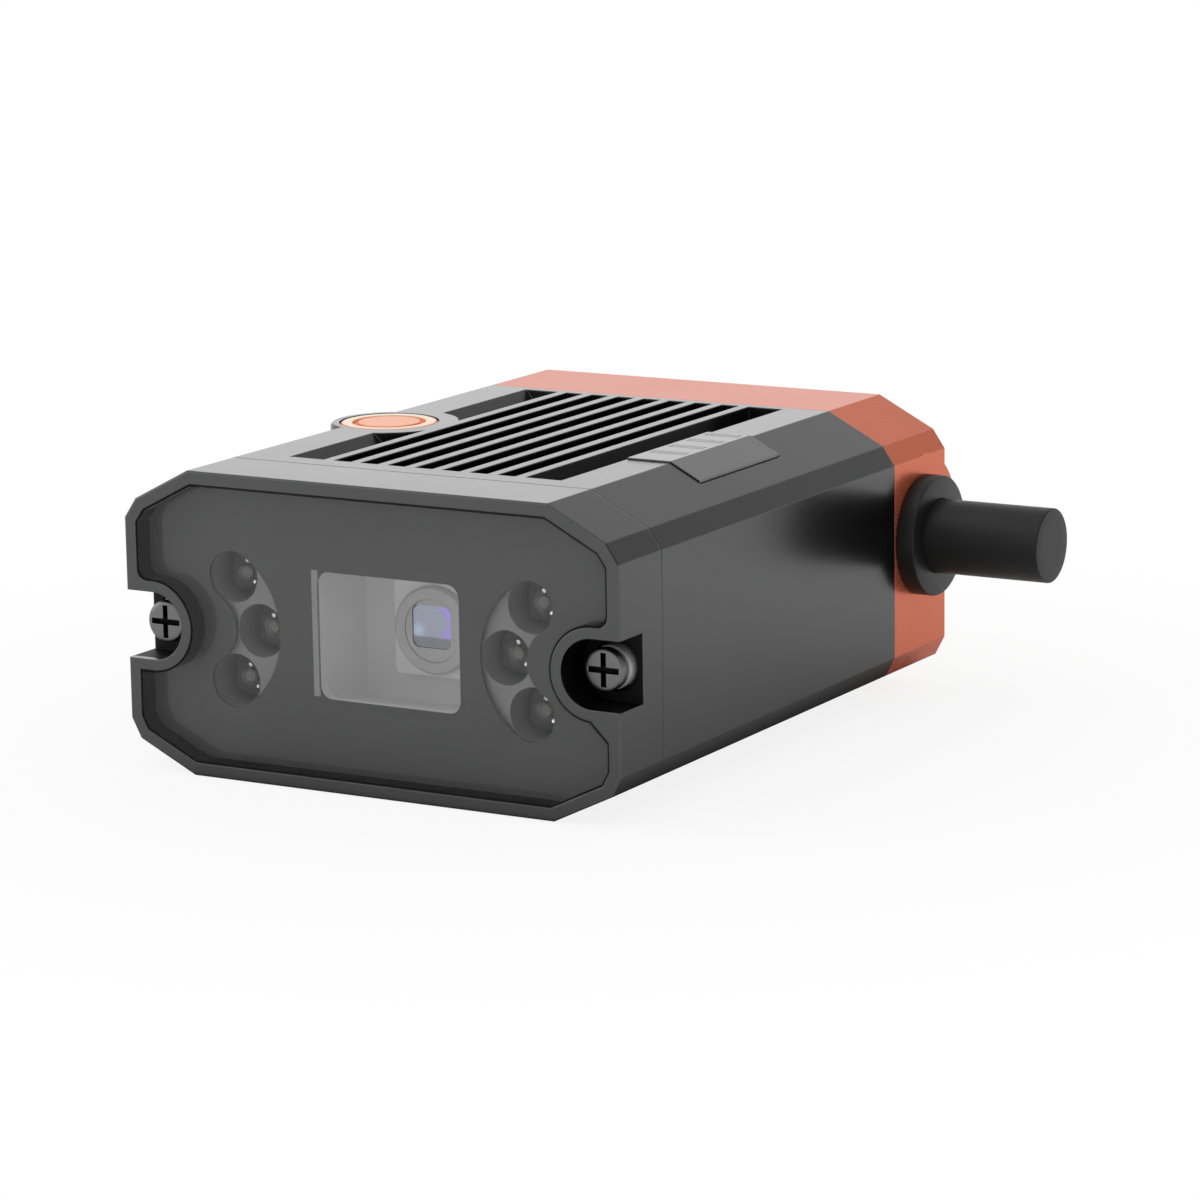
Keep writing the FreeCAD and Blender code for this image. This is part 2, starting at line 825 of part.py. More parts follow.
def make_status_panel():
    panel = prism(status_section(status_low_x, status_proud), status_front_depth, status_length)
    z_range = (body_height - status_thickness - 1, body_height + 1)
    for slot in status_bars(bar_gap, z_range):
        panel = panel.cut(slot)
    return panel


def make_status_light_guides():
    foot = main_board_top + status_lamp_height + fit
    head_z = body_height - status_thickness
    guides = []
    z_range = (head_z, body_height + status_proud)
    for head, depth in zip(status_bars(0.0, z_range), bar_depths()):
        stem = post(bar_middle_x, depth, guide_width, foot, head_z - foot)
        guides.append(join([head, stem]))
    return Part.makeCompound(guides)


def make_status_lamps():
    size = status_lamp_size
    z_range = (main_board_top, main_board_top + status_lamp_height)
    lamps = [block(span(bar_middle_x, size), span(depth, size), z_range) for depth in bar_depths()]
    return Part.makeCompound(lamps)


def cross_recess(x, z, depth):
    """Two crossed slots in a screw head that faces -Y."""
    depth_range = (depth - 1, depth + cross_depth)
    upright = block(span(x, cross_width), depth_range, span(z, cross_length))
    level = block(span(x, cross_length), depth_range, span(z, cross_width))
    return upright.fuse(level)


def make_bezel_screws():
    screws = []
    for side in (-1, 1):
        x = side * pocket_x
        head = rod_y(x, pocket_z, screw_head_radius, screw_face, screw_head_height)
        face_edge = [edge for edge in head.Edges if edge.BoundBox.YMax < at_depth(screw_face) + fit]
        head = head.makeChamfer(screw_head_edge, face_edge)
        shank = rod_y(x, pocket_z, screw_radius, screw_face, housing_front + bezel_screw_grip - screw_face)
        screws.append(head.fuse(shank).cut(cross_recess(x, pocket_z, screw_face)).removeSplitter())
    return Part.makeCompound(screws)


def make_screw_lock_washers():
    """Split spring washers behind the screw heads."""
    washers = []
    start = screw_face + screw_head_height
    for side in (-1, 1):
        x = side * pocket_x
        washer = rod_y(x, pocket_z, lock_washer_radius, start, lock_washer_height)
        washer = washer.cut(rod_y(x, pocket_z, screw_radius + fit, 0, bezel_depth))
        split = block(span(x, lock_washer_split), (start - 1, start + 1), (pocket_z, pocket_z + 3))
        washers.append(washer.cut(split))
    return Part.makeCompound(washers)


def make_screw_bushes():
    bushes = []
    for side in (-1, 1):
        x = side * pocket_x
        bush = rod_y(x, pocket_z, screw_head_radius, pocket_floor - bush_height, bush_height)
        bushes.append(bush.cut(rod_y(x, pocket_z, screw_radius + fit, 0, bezel_depth)))
    return Part.makeCompound(bushes)


def on_axis_block(width, depth_range, height, corner):
    """Rounded box about the optical axis."""
    return rounded_block(span(lens_x, width), depth_range, span(pocket_z, height), corner)


def make_lens_holder():
    """Square tower on a wider base, bored for the barrel."""
    front = lens_front_depth + barrel_flange_thickness
    base = sensor_board_depth - holder_base_thickness
    tower = on_axis_block(lens_holder_size, (front, base), lens_holder_size, lens_holder_corner)
    foot = on_axis_block(holder_base, (base, sensor_board_depth), holder_base, holder_base_corner)
    bore = lens_rod(barrel_radius + thread_fit, front - 1, barrel_length + 1 + ring_recess)
    x_range = span(lens_x, sensor_width + 2 * fit)
    z_range = span(pocket_z, sensor_height + 2 * fit)
    throat = block(x_range, (barrel_rear, sensor_board_depth + 1), z_range)
    return join([tower, foot]).cut(bore).cut(throat).removeSplitter()


def make_lens_bracket():
    """Plate behind the window that steadies the lens tower, notched at the screw bosses."""
    z_range = (wall + bracket_room, ceiling_z - bracket_room)
    depth_range = (bracket_depth, bracket_depth + bracket_thickness)
    plate = rounded_block(span(0, bracket_width), depth_range, z_range, bracket_corner)
    size = lens_holder_size + fit
    return plate.cut(block(span(lens_x, size), (0, body_length), span(pocket_z, size)))


def make_lens_barrel():
    """Threaded tube with a flat front flange, stepped inside for the lenses."""
    front = lens_front_depth
    flange = lens_rod(barrel_flange_radius, front, barrel_flange_thickness)
    edge = [edge for edge in flange.Edges if edge.BoundBox.YMax < at_depth(front) + fit]
    flange = flange.makeChamfer(barrel_edge, edge)
    barrel = flange.fuse(lens_rod(barrel_radius, front, barrel_rear - front))
    seat = lens_rod(ring_radius + thread_fit, front - 1, 1 + ring_recess + ring_thickness)
    barrel = barrel.cut(seat)
    front_bore = lens_rod(lens_radius + thread_fit, front - 1, 1 + lens_seat + lens_thickness)
    through = lens_rod(lens_radius - barrel_wall, front - 1, barrel_rear - front + 2)
    rear_bore = lens_rod(lens_radius + thread_fit, barrel_rear - lens_thickness, lens_thickness + 1)
    return barrel.cut(front_bore).cut(through).cut(rear_bore).removeSplitter()


def make_front_lens():
    """Lens with a flat back and a domed front."""
    start = lens_front_depth + lens_seat
    sphere_radius = (lens_radius ** 2 + lens_crown ** 2) / (2 * lens_crown)
    centre = Vector(lens_x, at_depth(start - lens_crown + sphere_radius), pocket_z)
    disc = lens_rod(lens_radius, start - lens_crown, lens_thickness + lens_crown)
    return Part.makeSphere(sphere_radius, centre).common(disc)


def make_rear_lens():
    return lens_rod(lens_radius, barrel_rear - lens_thickness, lens_thickness)


def make_lens_retaining_ring():
    """Disc in front of the lens, with a round-cornered rectangular opening."""
    depth_range = (lens_front_depth + ring_recess, lens_front_depth + ring_recess + ring_thickness)
    disc = lens_rod(ring_radius, depth_range[0], ring_thickness)
    depth_range = (depth_range[0] - 1, depth_range[1] + 1)
    return disc.cut(on_axis_block(ring_opening_width, depth_range, ring_opening_height, ring_opening_corner))


def make_image_sensor():
    depth_range = (sensor_board_depth - sensor_thickness, sensor_board_depth)
    return block(span(lens_x, sensor_width), depth_range, span(pocket_z, sensor_height))


def make_infrared_filter():
    rear = sensor_board_depth - sensor_thickness
    depth_range = (rear - filter_thickness, rear)
    return block(span(lens_x, filter_size), depth_range, span(pocket_z, filter_size))


def make_sensor_board():
    depth_range = (sensor_board_depth, sensor_board_depth + board_thickness)
    z_range = span(pocket_z, sensor_board_height)
    board = rounded_block(span(0, sensor_board_width), depth_range, z_range, sensor_board_corner)
    for side in (-1, 1):
        board = board.cut(rod_y(side * sensor_screw_x, pocket_z, screw_radius + fit, 0, body_length))
    return board


def board_screw(x, depth, z, direction):
    """Hexagon screw: the head's seat is at the given place and the shank points along direction."""
    height = board_screw_head_height
    head = hexagon(0, middle_depth, board_screw_across_flats, -height, height)
    shank = rod_z(0, middle_depth, screw_radius, 0, board_thickness + board_screw_grip - fit)
    screw = join([head, shank])
    screw.Placement = Placement(Vector(x, at_depth(depth), z), Rotation(Vector(0, 0, 1), Vector(*direction)))
    return screw


def make_sensor_board_screws():
    x = sensor_screw_x
    screws = [board_screw(side * x, sensor_board_depth, pocket_z, (0, 1, 0)) for side in (-1, 1)]
    return Part.makeCompound(screws)


def make_main_board():
    depth_range = (main_board_front, main_board_rear)
    board = block(span(0, main_board_width), depth_range, (main_board_z, main_board_top))
    for side in (-1, 1):
        for depth in main_post_depths:
            board = board.cut(rod_z(side * main_post_x, depth, screw_radius + fit, 0, body_height))
    return board


def make_main_board_screws():
    screws = []
    for side in (-1, 1):
        for depth in main_post_depths:
            screws.append(board_screw(side * main_post_x, depth, main_board_z, (0, 0, 1)))
    return Part.makeCompound(screws)


def make_processor():
    z_range = (main_board_top, main_board_top + processor_height)
    return block(span(0, processor_size), span(main_board_middle, processor_size), z_range)


def make_thermal_pad():
    size = processor_size - 2 * pad_margin
    z_range = (main_board_top + processor_height, ceiling_z)
    return block(span(0, size), span(main_board_middle, size), z_range)


def make_memory_chips():
    """Two chips under the main board."""
    depth_range = span(main_board_middle, memory_length)
    z_range = (main_board_z - memory_height, main_board_z)
    chips = [block(span(side * memory_x, memory_width), depth_range, z_range) for side in (-1, 1)]
    return Part.makeCompound(chips)


def make_power_board():
    depth_range = (power_board_front, power_board_rear)
    board = block(span(0, power_board_width), depth_range, (power_board_z, power_board_top))
    for x, depth in power_screw_places:
        board = board.cut(rod_z(x, depth, screw_radius + fit, 0, body_height))
    return board


def make_power_board_standoffs():
    """Tapped pillars under the front of the power board: its rear stands on the mounting bosses."""
    pillars = []
    hole_z = power_board_z - board_screw_grip
    for x, depth in power_screw_places:
        if depth < mount_depths[1]:
            pillar = hexagon(x, depth, standoff_across_flats, wall, power_board_z - wall)
            hole = rod_z(x, depth, screw_radius + thread_fit, hole_z, board_screw_grip + 1)
            pillars.append(pillar.cut(hole))
    return Part.makeCompound(pillars)


def make_power_board_screws():
    screws = [board_screw(x, depth, power_board_top, (0, 0, -1)) for x, depth in power_screw_places]
    return Part.makeCompound(screws)


def make_power_capacitors():
    """Three cans in a triangle."""
    cans = []
    height = main_board_z - capacitor_room - power_board_top
    for across, back in ((0, 0), (0, 1), (1, 0.5)):
        x = capacitor_x + across * capacitor_pitch
        depth = power_board_front + capacitor_inset + back * capacitor_pitch
        cans.append(rod_z(x, depth, capacitor_radius, power_board_top, height))
    return Part.makeCompound(cans)


def make_power_inductor():
    depth_range = span(power_board_front + inductor_inset, inductor_size)
    z_range = (power_board_top, power_board_top + inductor_height)
    return block(span(inductor_x, inductor_size), depth_range, z_range)


def make_board_header():
    """Tall pin header that joins the two boards."""
    depth_range = span(main_board_rear - header_inset, header_length)
    return block(span(0, header_width), depth_range, (power_board_top, main_board_z))


def make_sensor_ribbon():
    """Flat ribbon from the sensor board back to the underside of the main board."""
    start = sensor_board_rear
    x_range = span(lens_x, ribbon_width)
    rise = block(x_range, (start, start + ribbon_thickness), (pocket_z - ribbon_drop, main_board_z))
    run = block(x_range, (start, start + ribbon_reach), (main_board_z - ribbon_thickness, main_board_z))
    return join([rise, run])


def make_rear_cover():
    cover = prism(body_outline(), housing_rear, rear_cover_depth)
    rear_edges = [edge for edge in cover.Edges if edge.BoundBox.YMin > at_depth(body_length) - fit]
    cover = cover.makeChamfer(cover_edge, rear_edges)
    hump_start = half_width - hump_length
    hump = outlet_rod(hump_radius, hump_start, hump_length)
    end = Vector(hump_start - hump_run_out, at_depth(outlet_depth), outlet_z)
    inner_radius = body_length - outlet_depth - wall / 2
    hump = hump.fuse(Part.makeCone(inner_radius, hump_radius, hump_run_out, end, Vector(1, 0, 0)))
    behind = block((-half_width, half_width), (outlet_depth, body_length + hump_radius), (0, body_height))
    cover = cover.fuse(hump.common(behind))
    cavity = prism(body_outline(wall), housing_rear - 1, 1 + rear_cover_depth - cover_rear_wall)
    pad = outlet_rod(hump_radius - outlet_pad_step, outlet_inner_x, outlet_pad)
    for x, z in cover_screw_places:
        depth_range = (housing_rear, body_length)
        cavity = cavity.cut(block(span(x, cover_boss_width), depth_range, span(z, cover_boss_width)))
    cavity = cavity.cut(pad)
    cover = cover.cut(cavity)
    room = outlet_rod(nut_room_radius, hump_start, outlet_inner_x - hump_start)
    cover = cover.cut(room)
    cover = cover.cut(outlet_rod(shank_radius + thread_fit, hump_start, hump_length + 1))
    gasket = prism(body_outline(wall + rear_gasket_thickness), housing_rear - 1, 1 + rear_gasket_thickness)
    seat = prism(body_outline(wall / 2), housing_rear - 1, 1 + rear_gasket_thickness).cut(gasket)
    cover = cover.cut(seat)
    for x, z in cover_screw_places:
        cover = cover.cut(rod_y(x, z, screw_radius + fit, housing_rear - 1, rear_cover_depth + 2))
        sink = body_length - cover_head_sink
        cover = cover.cut(rod_y(x, z, cover_head_radius + fit, sink, cover_head_sink + 1))
    return cover.removeSplitter()


def make_rear_gasket():
    """Square-section ring between the housing and the rear cover."""
    ring = prism(body_outline(wall / 2), housing_rear, rear_gasket_thickness)
    return ring.cut(prism(body_outline(wall - fit), housing_rear - 1, rear_gasket_thickness + 2))


def make_rear_cover_screws():
    screws = []
    seat = body_length - cover_head_sink
    top = seat + cover_head_height
    tip = housing_rear - cover_screw_grip + fit
    for x, z in cover_screw_places:
        head = rod_y(x, z, cover_head_radius, seat, cover_head_height)
        shank = rod_y(x, z, screw_radius, tip, seat - tip)
        recess = cross_recess(x, z, top).mirror(Vector(x, at_depth(top), z), Vector(0, 1, 0))
        screws.append(join([head, shank]).cut(recess))
    return Part.makeCompound(screws)


def make_gland_body():
    """Flat flange outside, threaded shank through the wall, stepped bore for the seal."""
    flange = outlet_rod(flange_radius, half_width, flange_thickness)
    face_x = half_width + flange_thickness
    outer_edge = [edge for edge in flange.Edges if edge.BoundBox.XMin > face_x - fit]
    flange = flange.makeChamfer(flange_edge, outer_edge)
    shank = outlet_rod(shank_radius, half_width - shank_inner_length, shank_inner_length)
    body = flange.fuse(shank)
    body = body.cut(outlet_rod(cable_radius + thread_fit, 0, body_width))
    seat = outlet_rod(cable_radius + gland_seal_wall, gland_seal_x, gland_seal_length)
    return body.cut(seat).removeSplitter()


def make_gland_seal():
    ring = outlet_rod(cable_radius + gland_seal_wall, gland_seal_x, gland_seal_length)
    return ring.cut(outlet_rod(cable_radius + thread_fit, 0, body_width))


def make_gland_nut():
    radius = nut_across_flats / 2 / math.cos(math.pi / 6)
    start = outlet_inner_x - nut_thickness
    corners = []
    for index in range(6):
        angle = index * math.pi / 3
        y = at_depth(outlet_depth) + radius * math.sin(angle)
        corners.append(Vector(start, y, outlet_z + radius * math.cos(angle)))
    nut = Part.Face(Part.makePolygon(corners + corners[:1])).extrude(Vector(nut_thickness, 0, 0))
    return nut.cut(outlet_rod(shank_radius + thread_fit, 0, body_width))


def make_cable_stub():
    return outlet_rod(cable_radius, cable_inner_x, cable_end_x - cable_inner_x)


def make_cable_connector():
    """Block at the rear of the power board that takes the cable's cores."""
    x_range = (connector_face_x - connector_width, connector_face_x)
    return block(x_range, span(outlet_depth, connector_length), (power_board_top, connector_top))


def make_cable_cores():
    """Four insulated cores from the cable to its connector."""
    cores = []
    for y_side in (-1, 1):
        for z_side in (-1, 1):
            depth = outlet_depth + y_side * core_spacing / 2
            z = outlet_z + z_side * core_spacing / 2
            cores.append(rod_x(depth, z, core_radius, connector_face_x, connector_gap))
    return Part.makeCompound(cores)


def make_parts():
    """Every sub-part by its node name."""
    parts = {
        "housing": make_housing(),
        "front_bezel": make_front_bezel(),
        "front_window": make_front_window(),
        "window_mask": make_window_mask(),
        "window_gasket": make_window_gasket(),
        "light_panel": make_light_panel(),
        "bezel_gasket": make_bezel_gasket(),
        "bezel_screws": make_bezel_screws(),
        "screw_lock_washers": make_screw_lock_washers(),
        "screw_bushes": make_screw_bushes(),
        "lens_holder": make_lens_holder(),
        "lens_bracket": make_lens_bracket(),
        "lens_barrel": make_lens_barrel(),
        "front_lens": make_front_lens(),
        "rear_lens": make_rear_lens(),
        "lens_retaining_ring": make_lens_retaining_ring(),
        "infrared_filter": make_infrared_filter(),
        "image_sensor": make_image_sensor(),
        "sensor_board": make_sensor_board(),
        "sensor_board_screws": make_sensor_board_screws(),
        "sensor_ribbon": make_sensor_ribbon(),
        "main_board": make_main_board(),
        "main_board_screws": make_main_board_screws(),
        "processor": make_processor(),
        "thermal_pad": make_thermal_pad(),
        "memory_chips": make_memory_chips(),
        "power_board": make_power_board(),
        "power_board_standoffs": make_power_board_standoffs(),
        "power_board_screws": make_power_board_screws(),
        "power_capacitors": make_power_capacitors(),
        "power_inductor": make_power_inductor(),
        "board_header": make_board_header(),
        "trigger_button": make_trigger_button(),
        "button_clip": make_button_clip(),
        "button_seal": make_button_seal(),
        "switch_body": make_switch_body(),
        "switch_plunger": make_switch_plunger(),
        "status_panel": make_status_panel(),
        "status_light_guides": make_status_light_guides(),
        "status_lamps": make_status_lamps(),
        "rear_cover": make_rear_cover(),
        "rear_gasket": make_rear_gasket(),
        "rear_cover_screws": make_rear_cover_screws(),
        "gland_body": make_gland_body(),
        "gland_seal": make_gland_seal(),
        "gland_nut": make_gland_nut(),
        "cable_stub": make_cable_stub(),
        "cable_cores": make_cable_cores(),
        "cable_connector": make_cable_connector(),
    }
    for name, side in (("left", -1), ("right", 1)):
        parts[name + "_lamp_board"] = make_lamp_board(side)
        parts[name + "_lamps"] = make_lamps(side)
        parts[name + "_lamp_lenses"] = make_lamp_lenses(side)
    return parts


os.makedirs("parts", exist_ok=True)
for name, shape in make_parts().items():
    shape.exportStep("parts/" + name + ".step")
    box = shape.BoundBox
    print(name, len(shape.Solids), shape.isValid(), round(shape.Volume, 2),
          [round(v, 2) for v in (box.XMin, box.XMax, box.YMin, box.YMax, box.ZMin, box.ZMax)])
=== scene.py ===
import math

import bpy
from mathutils import Matrix, Vector


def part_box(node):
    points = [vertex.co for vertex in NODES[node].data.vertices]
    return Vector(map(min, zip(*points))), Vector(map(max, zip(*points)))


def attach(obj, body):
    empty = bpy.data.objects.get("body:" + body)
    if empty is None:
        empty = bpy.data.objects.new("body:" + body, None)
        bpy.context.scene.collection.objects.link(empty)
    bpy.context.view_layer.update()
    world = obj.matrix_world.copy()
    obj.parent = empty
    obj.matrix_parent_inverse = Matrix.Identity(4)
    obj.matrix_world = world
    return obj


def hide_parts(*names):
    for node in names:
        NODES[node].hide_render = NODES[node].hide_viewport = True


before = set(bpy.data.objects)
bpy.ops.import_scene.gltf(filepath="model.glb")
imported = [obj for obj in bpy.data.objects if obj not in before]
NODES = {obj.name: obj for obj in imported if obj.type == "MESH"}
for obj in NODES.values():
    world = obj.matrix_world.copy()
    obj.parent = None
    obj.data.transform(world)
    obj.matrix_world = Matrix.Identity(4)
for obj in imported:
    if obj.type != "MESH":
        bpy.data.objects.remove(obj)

bl_info = {
    "name": "Machine vision camera",
    "version": (1, 0, 0),
    "blender": (4, 5, 0),
    "location": "View3D > Sidebar > Vision camera",
    "description": "Finishes the packed camera with detailed pieces, materials and a plain stage",
    "category": "Object",
}

RIGHT = Vector((1, 0, 0))
REAR = Vector((0, 1, 0))
UP = Vector((0, 0, 1))
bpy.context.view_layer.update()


def low(node):
    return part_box(node)[0]


def high(node):
    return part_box(node)[1]


def middle_of(node):
    return (low(node) + high(node)) / 2


FRONT_Y = low("front_bezel").y
REAR_Y = -FRONT_Y
SIDE_X = high("housing").x
WINDOW_Z = middle_of("front_window").z
LENS_AXIS = middle_of("lens_retaining_ring")

# The rectangle that the window's print leaves open, which no box gives
OPENING_X = 0.00095
OPENING_Z = WINDOW_Z - 0.00025
OPENING_HALF_X = 0.0072
OPENING_HALF_Z = 0.00565

# The light chamber behind it, and the square tower round the lens
CHAMBER_HALF_X = 0.00802
CHAMBER_HALF_Z = 0.00727
CHAMBER_SETBACK = 0.00252
TOWER_HALF = 0.0043

# The screw pockets in the sides of the bezel, whose insides get painted shade
POCKET_START = 0.0007
POCKET_END = 0.0062
POCKET_HALF_X = 0.0042
POCKET_HALF_Z = 0.00312

# A hair's breadth that keeps two faces or masks apart
HAIR = 0.00001


# Sizes and colours that a user may change

COLOUR = {"subtype": "COLOR", "size": 3, "min": 0, "max": 1}
LENGTH = {"subtype": "DISTANCE", "unit": "LENGTH"}


class FinishSettings(bpy.types.PropertyGroup):
    grey: bpy.props.FloatVectorProperty(
        name="Body grey", description="Anodised grey of the housing and the bezel",
        default=(0.093, 0.0935, 0.094), **COLOUR)
    orange: bpy.props.FloatVectorProperty(
        name="Cover orange", description="Anodised orange of the rear cover",
        default=(0.75, 0.182, 0.092), **COLOUR)
    print_black: bpy.props.FloatVectorProperty(
        name="Window print", description="Print behind the window",
        default=(0.063, 0.063, 0.0635), **COLOUR)
    plastic: bpy.props.FloatVectorProperty(
        name="Panel plastic", description="Moulding behind the window",
        default=(0.2, 0.2, 0.203), **COLOUR)
    chamber: bpy.props.FloatVectorProperty(
        name="Lens chamber", description="Matt finish of the chamber round the lens",
        default=(0.62, 0.62, 0.62), **COLOUR)
    rubber: bpy.props.FloatVectorProperty(
        name="Seal rubber", description="Gaskets and seals",
        default=(0.011, 0.011, 0.011), **COLOUR)
    lens_face: bpy.props.FloatVectorProperty(
        name="Lens face", description="Satin face round the lens",
        default=(0.6, 0.6, 0.6), **COLOUR)
    jacket: bpy.props.FloatVectorProperty(
        name="Cable jacket", description="Cable jacket and gland",
        default=(0.0085, 0.0082, 0.008), **COLOUR)
    grain: bpy.props.FloatProperty(
        name="Metal grain", description="Size of one grain of the blasted surface",
        default=0.00022, min=0.00005, max=0.002, **LENGTH)
    edge: bpy.props.FloatProperty(
        name="Edge radius", description="Broken edge of the machined metal",
        default=0.00016, min=0.00001, max=0.001, **LENGTH)


class ScrewSettings(bpy.types.PropertyGroup):
    pocket_x: bpy.props.FloatProperty(
        name="Pocket side", description="Bezel screw, from the middle of the body",
        default=0.0223, **LENGTH)
    pocket_z: bpy.props.FloatProperty(
        name="Pocket height", description="Bezel screw, above the base", default=0.0131, **LENGTH)
    head_radius: bpy.props.FloatProperty(
        name="Head radius", description="Radius of a screw head",
        default=0.0019, min=0.0005, **LENGTH)
    shank_radius: bpy.props.FloatProperty(
        name="Shank radius", description="Radius of a screw shank",
        default=0.00098, min=0.0002, **LENGTH)
    arm_length: bpy.props.FloatProperty(
        name="Cross length", description="Length of the crossed slots",
        default=0.0034, min=0.0005, **LENGTH)
    arm_width: bpy.props.FloatProperty(
        name="Cross width", description="Width of the crossed slots",
        default=0.00052, min=0.0001, **LENGTH)


class LampSettings(bpy.types.PropertyGroup):
    arc_x: bpy.props.FloatProperty(
        name="Arc side", description="Centre of the lamps' arc, from the middle of the body",
        default=0.018, **LENGTH)
    arc_radius: bpy.props.FloatProperty(
        name="Arc radius", description="Radius of the arc on which the lamps stand",
        default=0.0055, **LENGTH)
    arc_angle: bpy.props.FloatProperty(
        name="Arc angle", description="Angle from the middle lamp to the outer ones",
        default=math.radians(58.8), subtype="ANGLE", unit="ROTATION")
    package: bpy.props.FloatProperty(
        name="Package size", description="Width of one lamp package",
        default=0.0034, min=0.001, **LENGTH)
    dome: bpy.props.FloatProperty(
        name="Dome radius", description="Radius of the clear dome",
        default=0.00145, min=0.0005, **LENGTH)


class LensSettings(bpy.types.PropertyGroup):
    ring_thickness: bpy.props.FloatProperty(
        name="Ring thickness", description="Thickness of the masking ring",
        default=0.00012, min=0.00005, **LENGTH)
    opening_width: bpy.props.FloatProperty(
        name="Opening width", description="Width of the opening in front of the lens",
        default=0.004, min=0.001, **LENGTH)
    opening_height: bpy.props.FloatProperty(
        name="Opening height", description="Height of the opening in front of the lens",
        default=0.0038, min=0.001, **LENGTH)
    opening_side: bpy.props.FloatProperty(
        name="Opening side", description="Middle of the opening, from the optical axis",
        default=-0.00015, **LENGTH)
    opening_rise: bpy.props.FloatProperty(
        name="Opening rise", description="Middle of the opening, above the optical axis",
        default=0.0003, **LENGTH)
    opening_corner: bpy.props.FloatProperty(
        name="Opening corner", description="Corner radius of the opening",
        default=0.0007, min=0.0001, **LENGTH)


class ControlSettings(bpy.types.PropertyGroup):
    cap: bpy.props.FloatVectorProperty(
        name="Button cap", description="Outer rim of the trigger button",
        default=(1.0, 0.85, 0.64), **COLOUR)
    core: bpy.props.FloatVectorProperty(
        name="Button centre", description="Middle of the trigger button",
        default=(1.0, 0.42, 0.23), **COLOUR)
    groove: bpy.props.FloatVectorProperty(
        name="Button groove", description="Ring groove of the trigger button",
        default=(0.9, 0.2, 0.045), **COLOUR)
    ring_radius: bpy.props.FloatProperty(
        name="Groove radius", description="Middle of the ring groove", default=0.00315, **LENGTH)
    ring_width: bpy.props.FloatProperty(
        name="Groove width", description="Width of the ring groove", default=0.00055, **LENGTH)
    ring_depth: bpy.props.FloatProperty(
        name="Groove depth", description="Depth of the ring groove", default=0.00025, **LENGTH)


class CableSettings(bpy.types.PropertyGroup):
    radius: bpy.props.FloatProperty(
        name="Cable radius", description="Radius of the cable jacket",
        default=0.00347, min=0.001, **LENGTH)
    flange_radius: bpy.props.FloatProperty(
        name="Flange radius", description="Radius of the gland flange",
        default=0.00565, min=0.001, **LENGTH)
    shank_radius: bpy.props.FloatProperty(
        name="Shank radius", description="Radius of the gland inside the cover",
        default=0.0046, min=0.001, **LENGTH)
    end_edge: bpy.props.FloatProperty(
        name="End edge", description="Softened edge where the jacket ends",
        default=0.00012, **LENGTH)


class StageSettings(bpy.types.PropertyGroup):
    floor: bpy.props.FloatVectorProperty(
        name="Floor", description="Colour of the floor", default=(0.93, 0.93, 0.93), **COLOUR)
    floor_size: bpy.props.FloatProperty(
        name="Floor size", description="Side of the square floor", default=6.0, min=0.5, **LENGTH)
    sky: bpy.props.FloatProperty(
        name="Sky light", description="Strength of the world on matt surfaces",
        default=0.72, min=0, max=2)
    key_power: bpy.props.FloatProperty(
        name="Key lamp", description="Power of the soft lamp above",
        default=0.22, min=0, unit="POWER")
    fill_power: bpy.props.FloatProperty(
        name="Fill lamp", description="Power of the soft lamp at the left",
        default=0.4, min=0, unit="POWER")
    rear_power: bpy.props.FloatProperty(
        name="Rear lamp", description="Power of the low, wide lamp behind",
        default=0.26, min=0, unit="POWER")
    upper_sky: bpy.props.FloatProperty(
        name="Upper sky", description="Strength of the sky high up, as polished metal shows it",
        default=0.72, min=0, max=1)


# Shader maths

class Value:
    """A socket of a node tree. Arithmetic on values adds Math nodes."""

    def __init__(self, nodes, socket):
        self.nodes = nodes
        self.socket = socket

    def output(self, name):
        return Value(self.nodes, self.socket.node.outputs[name])

    def __add__(self, other):
        return self.nodes.maths("ADD", self, other)

    def __radd__(self, other):
        return self.nodes.maths("ADD", other, self)

    def __sub__(self, other):
        return self.nodes.maths("SUBTRACT", self, other)

    def __rsub__(self, other):
        return self.nodes.maths("SUBTRACT", other, self)

    def __mul__(self, other):
        return self.nodes.maths("MULTIPLY", self, other)

    def __rmul__(self, other):
        return self.nodes.maths("MULTIPLY", other, self)

    def __pow__(self, other):
        return self.nodes.maths("POWER", self, other)

    def __gt__(self, other):
        return self.nodes.maths("GREATER_THAN", self, other)

    def __lt__(self, other):
        return self.nodes.maths("LESS_THAN", self, other)

    def __abs__(self):
        return self.nodes.maths("ABSOLUTE", self)

    def between(self, start, end):
        return (self > start) * (self < end)

    def near(self, place, reach):
        return abs(self - place) < reach


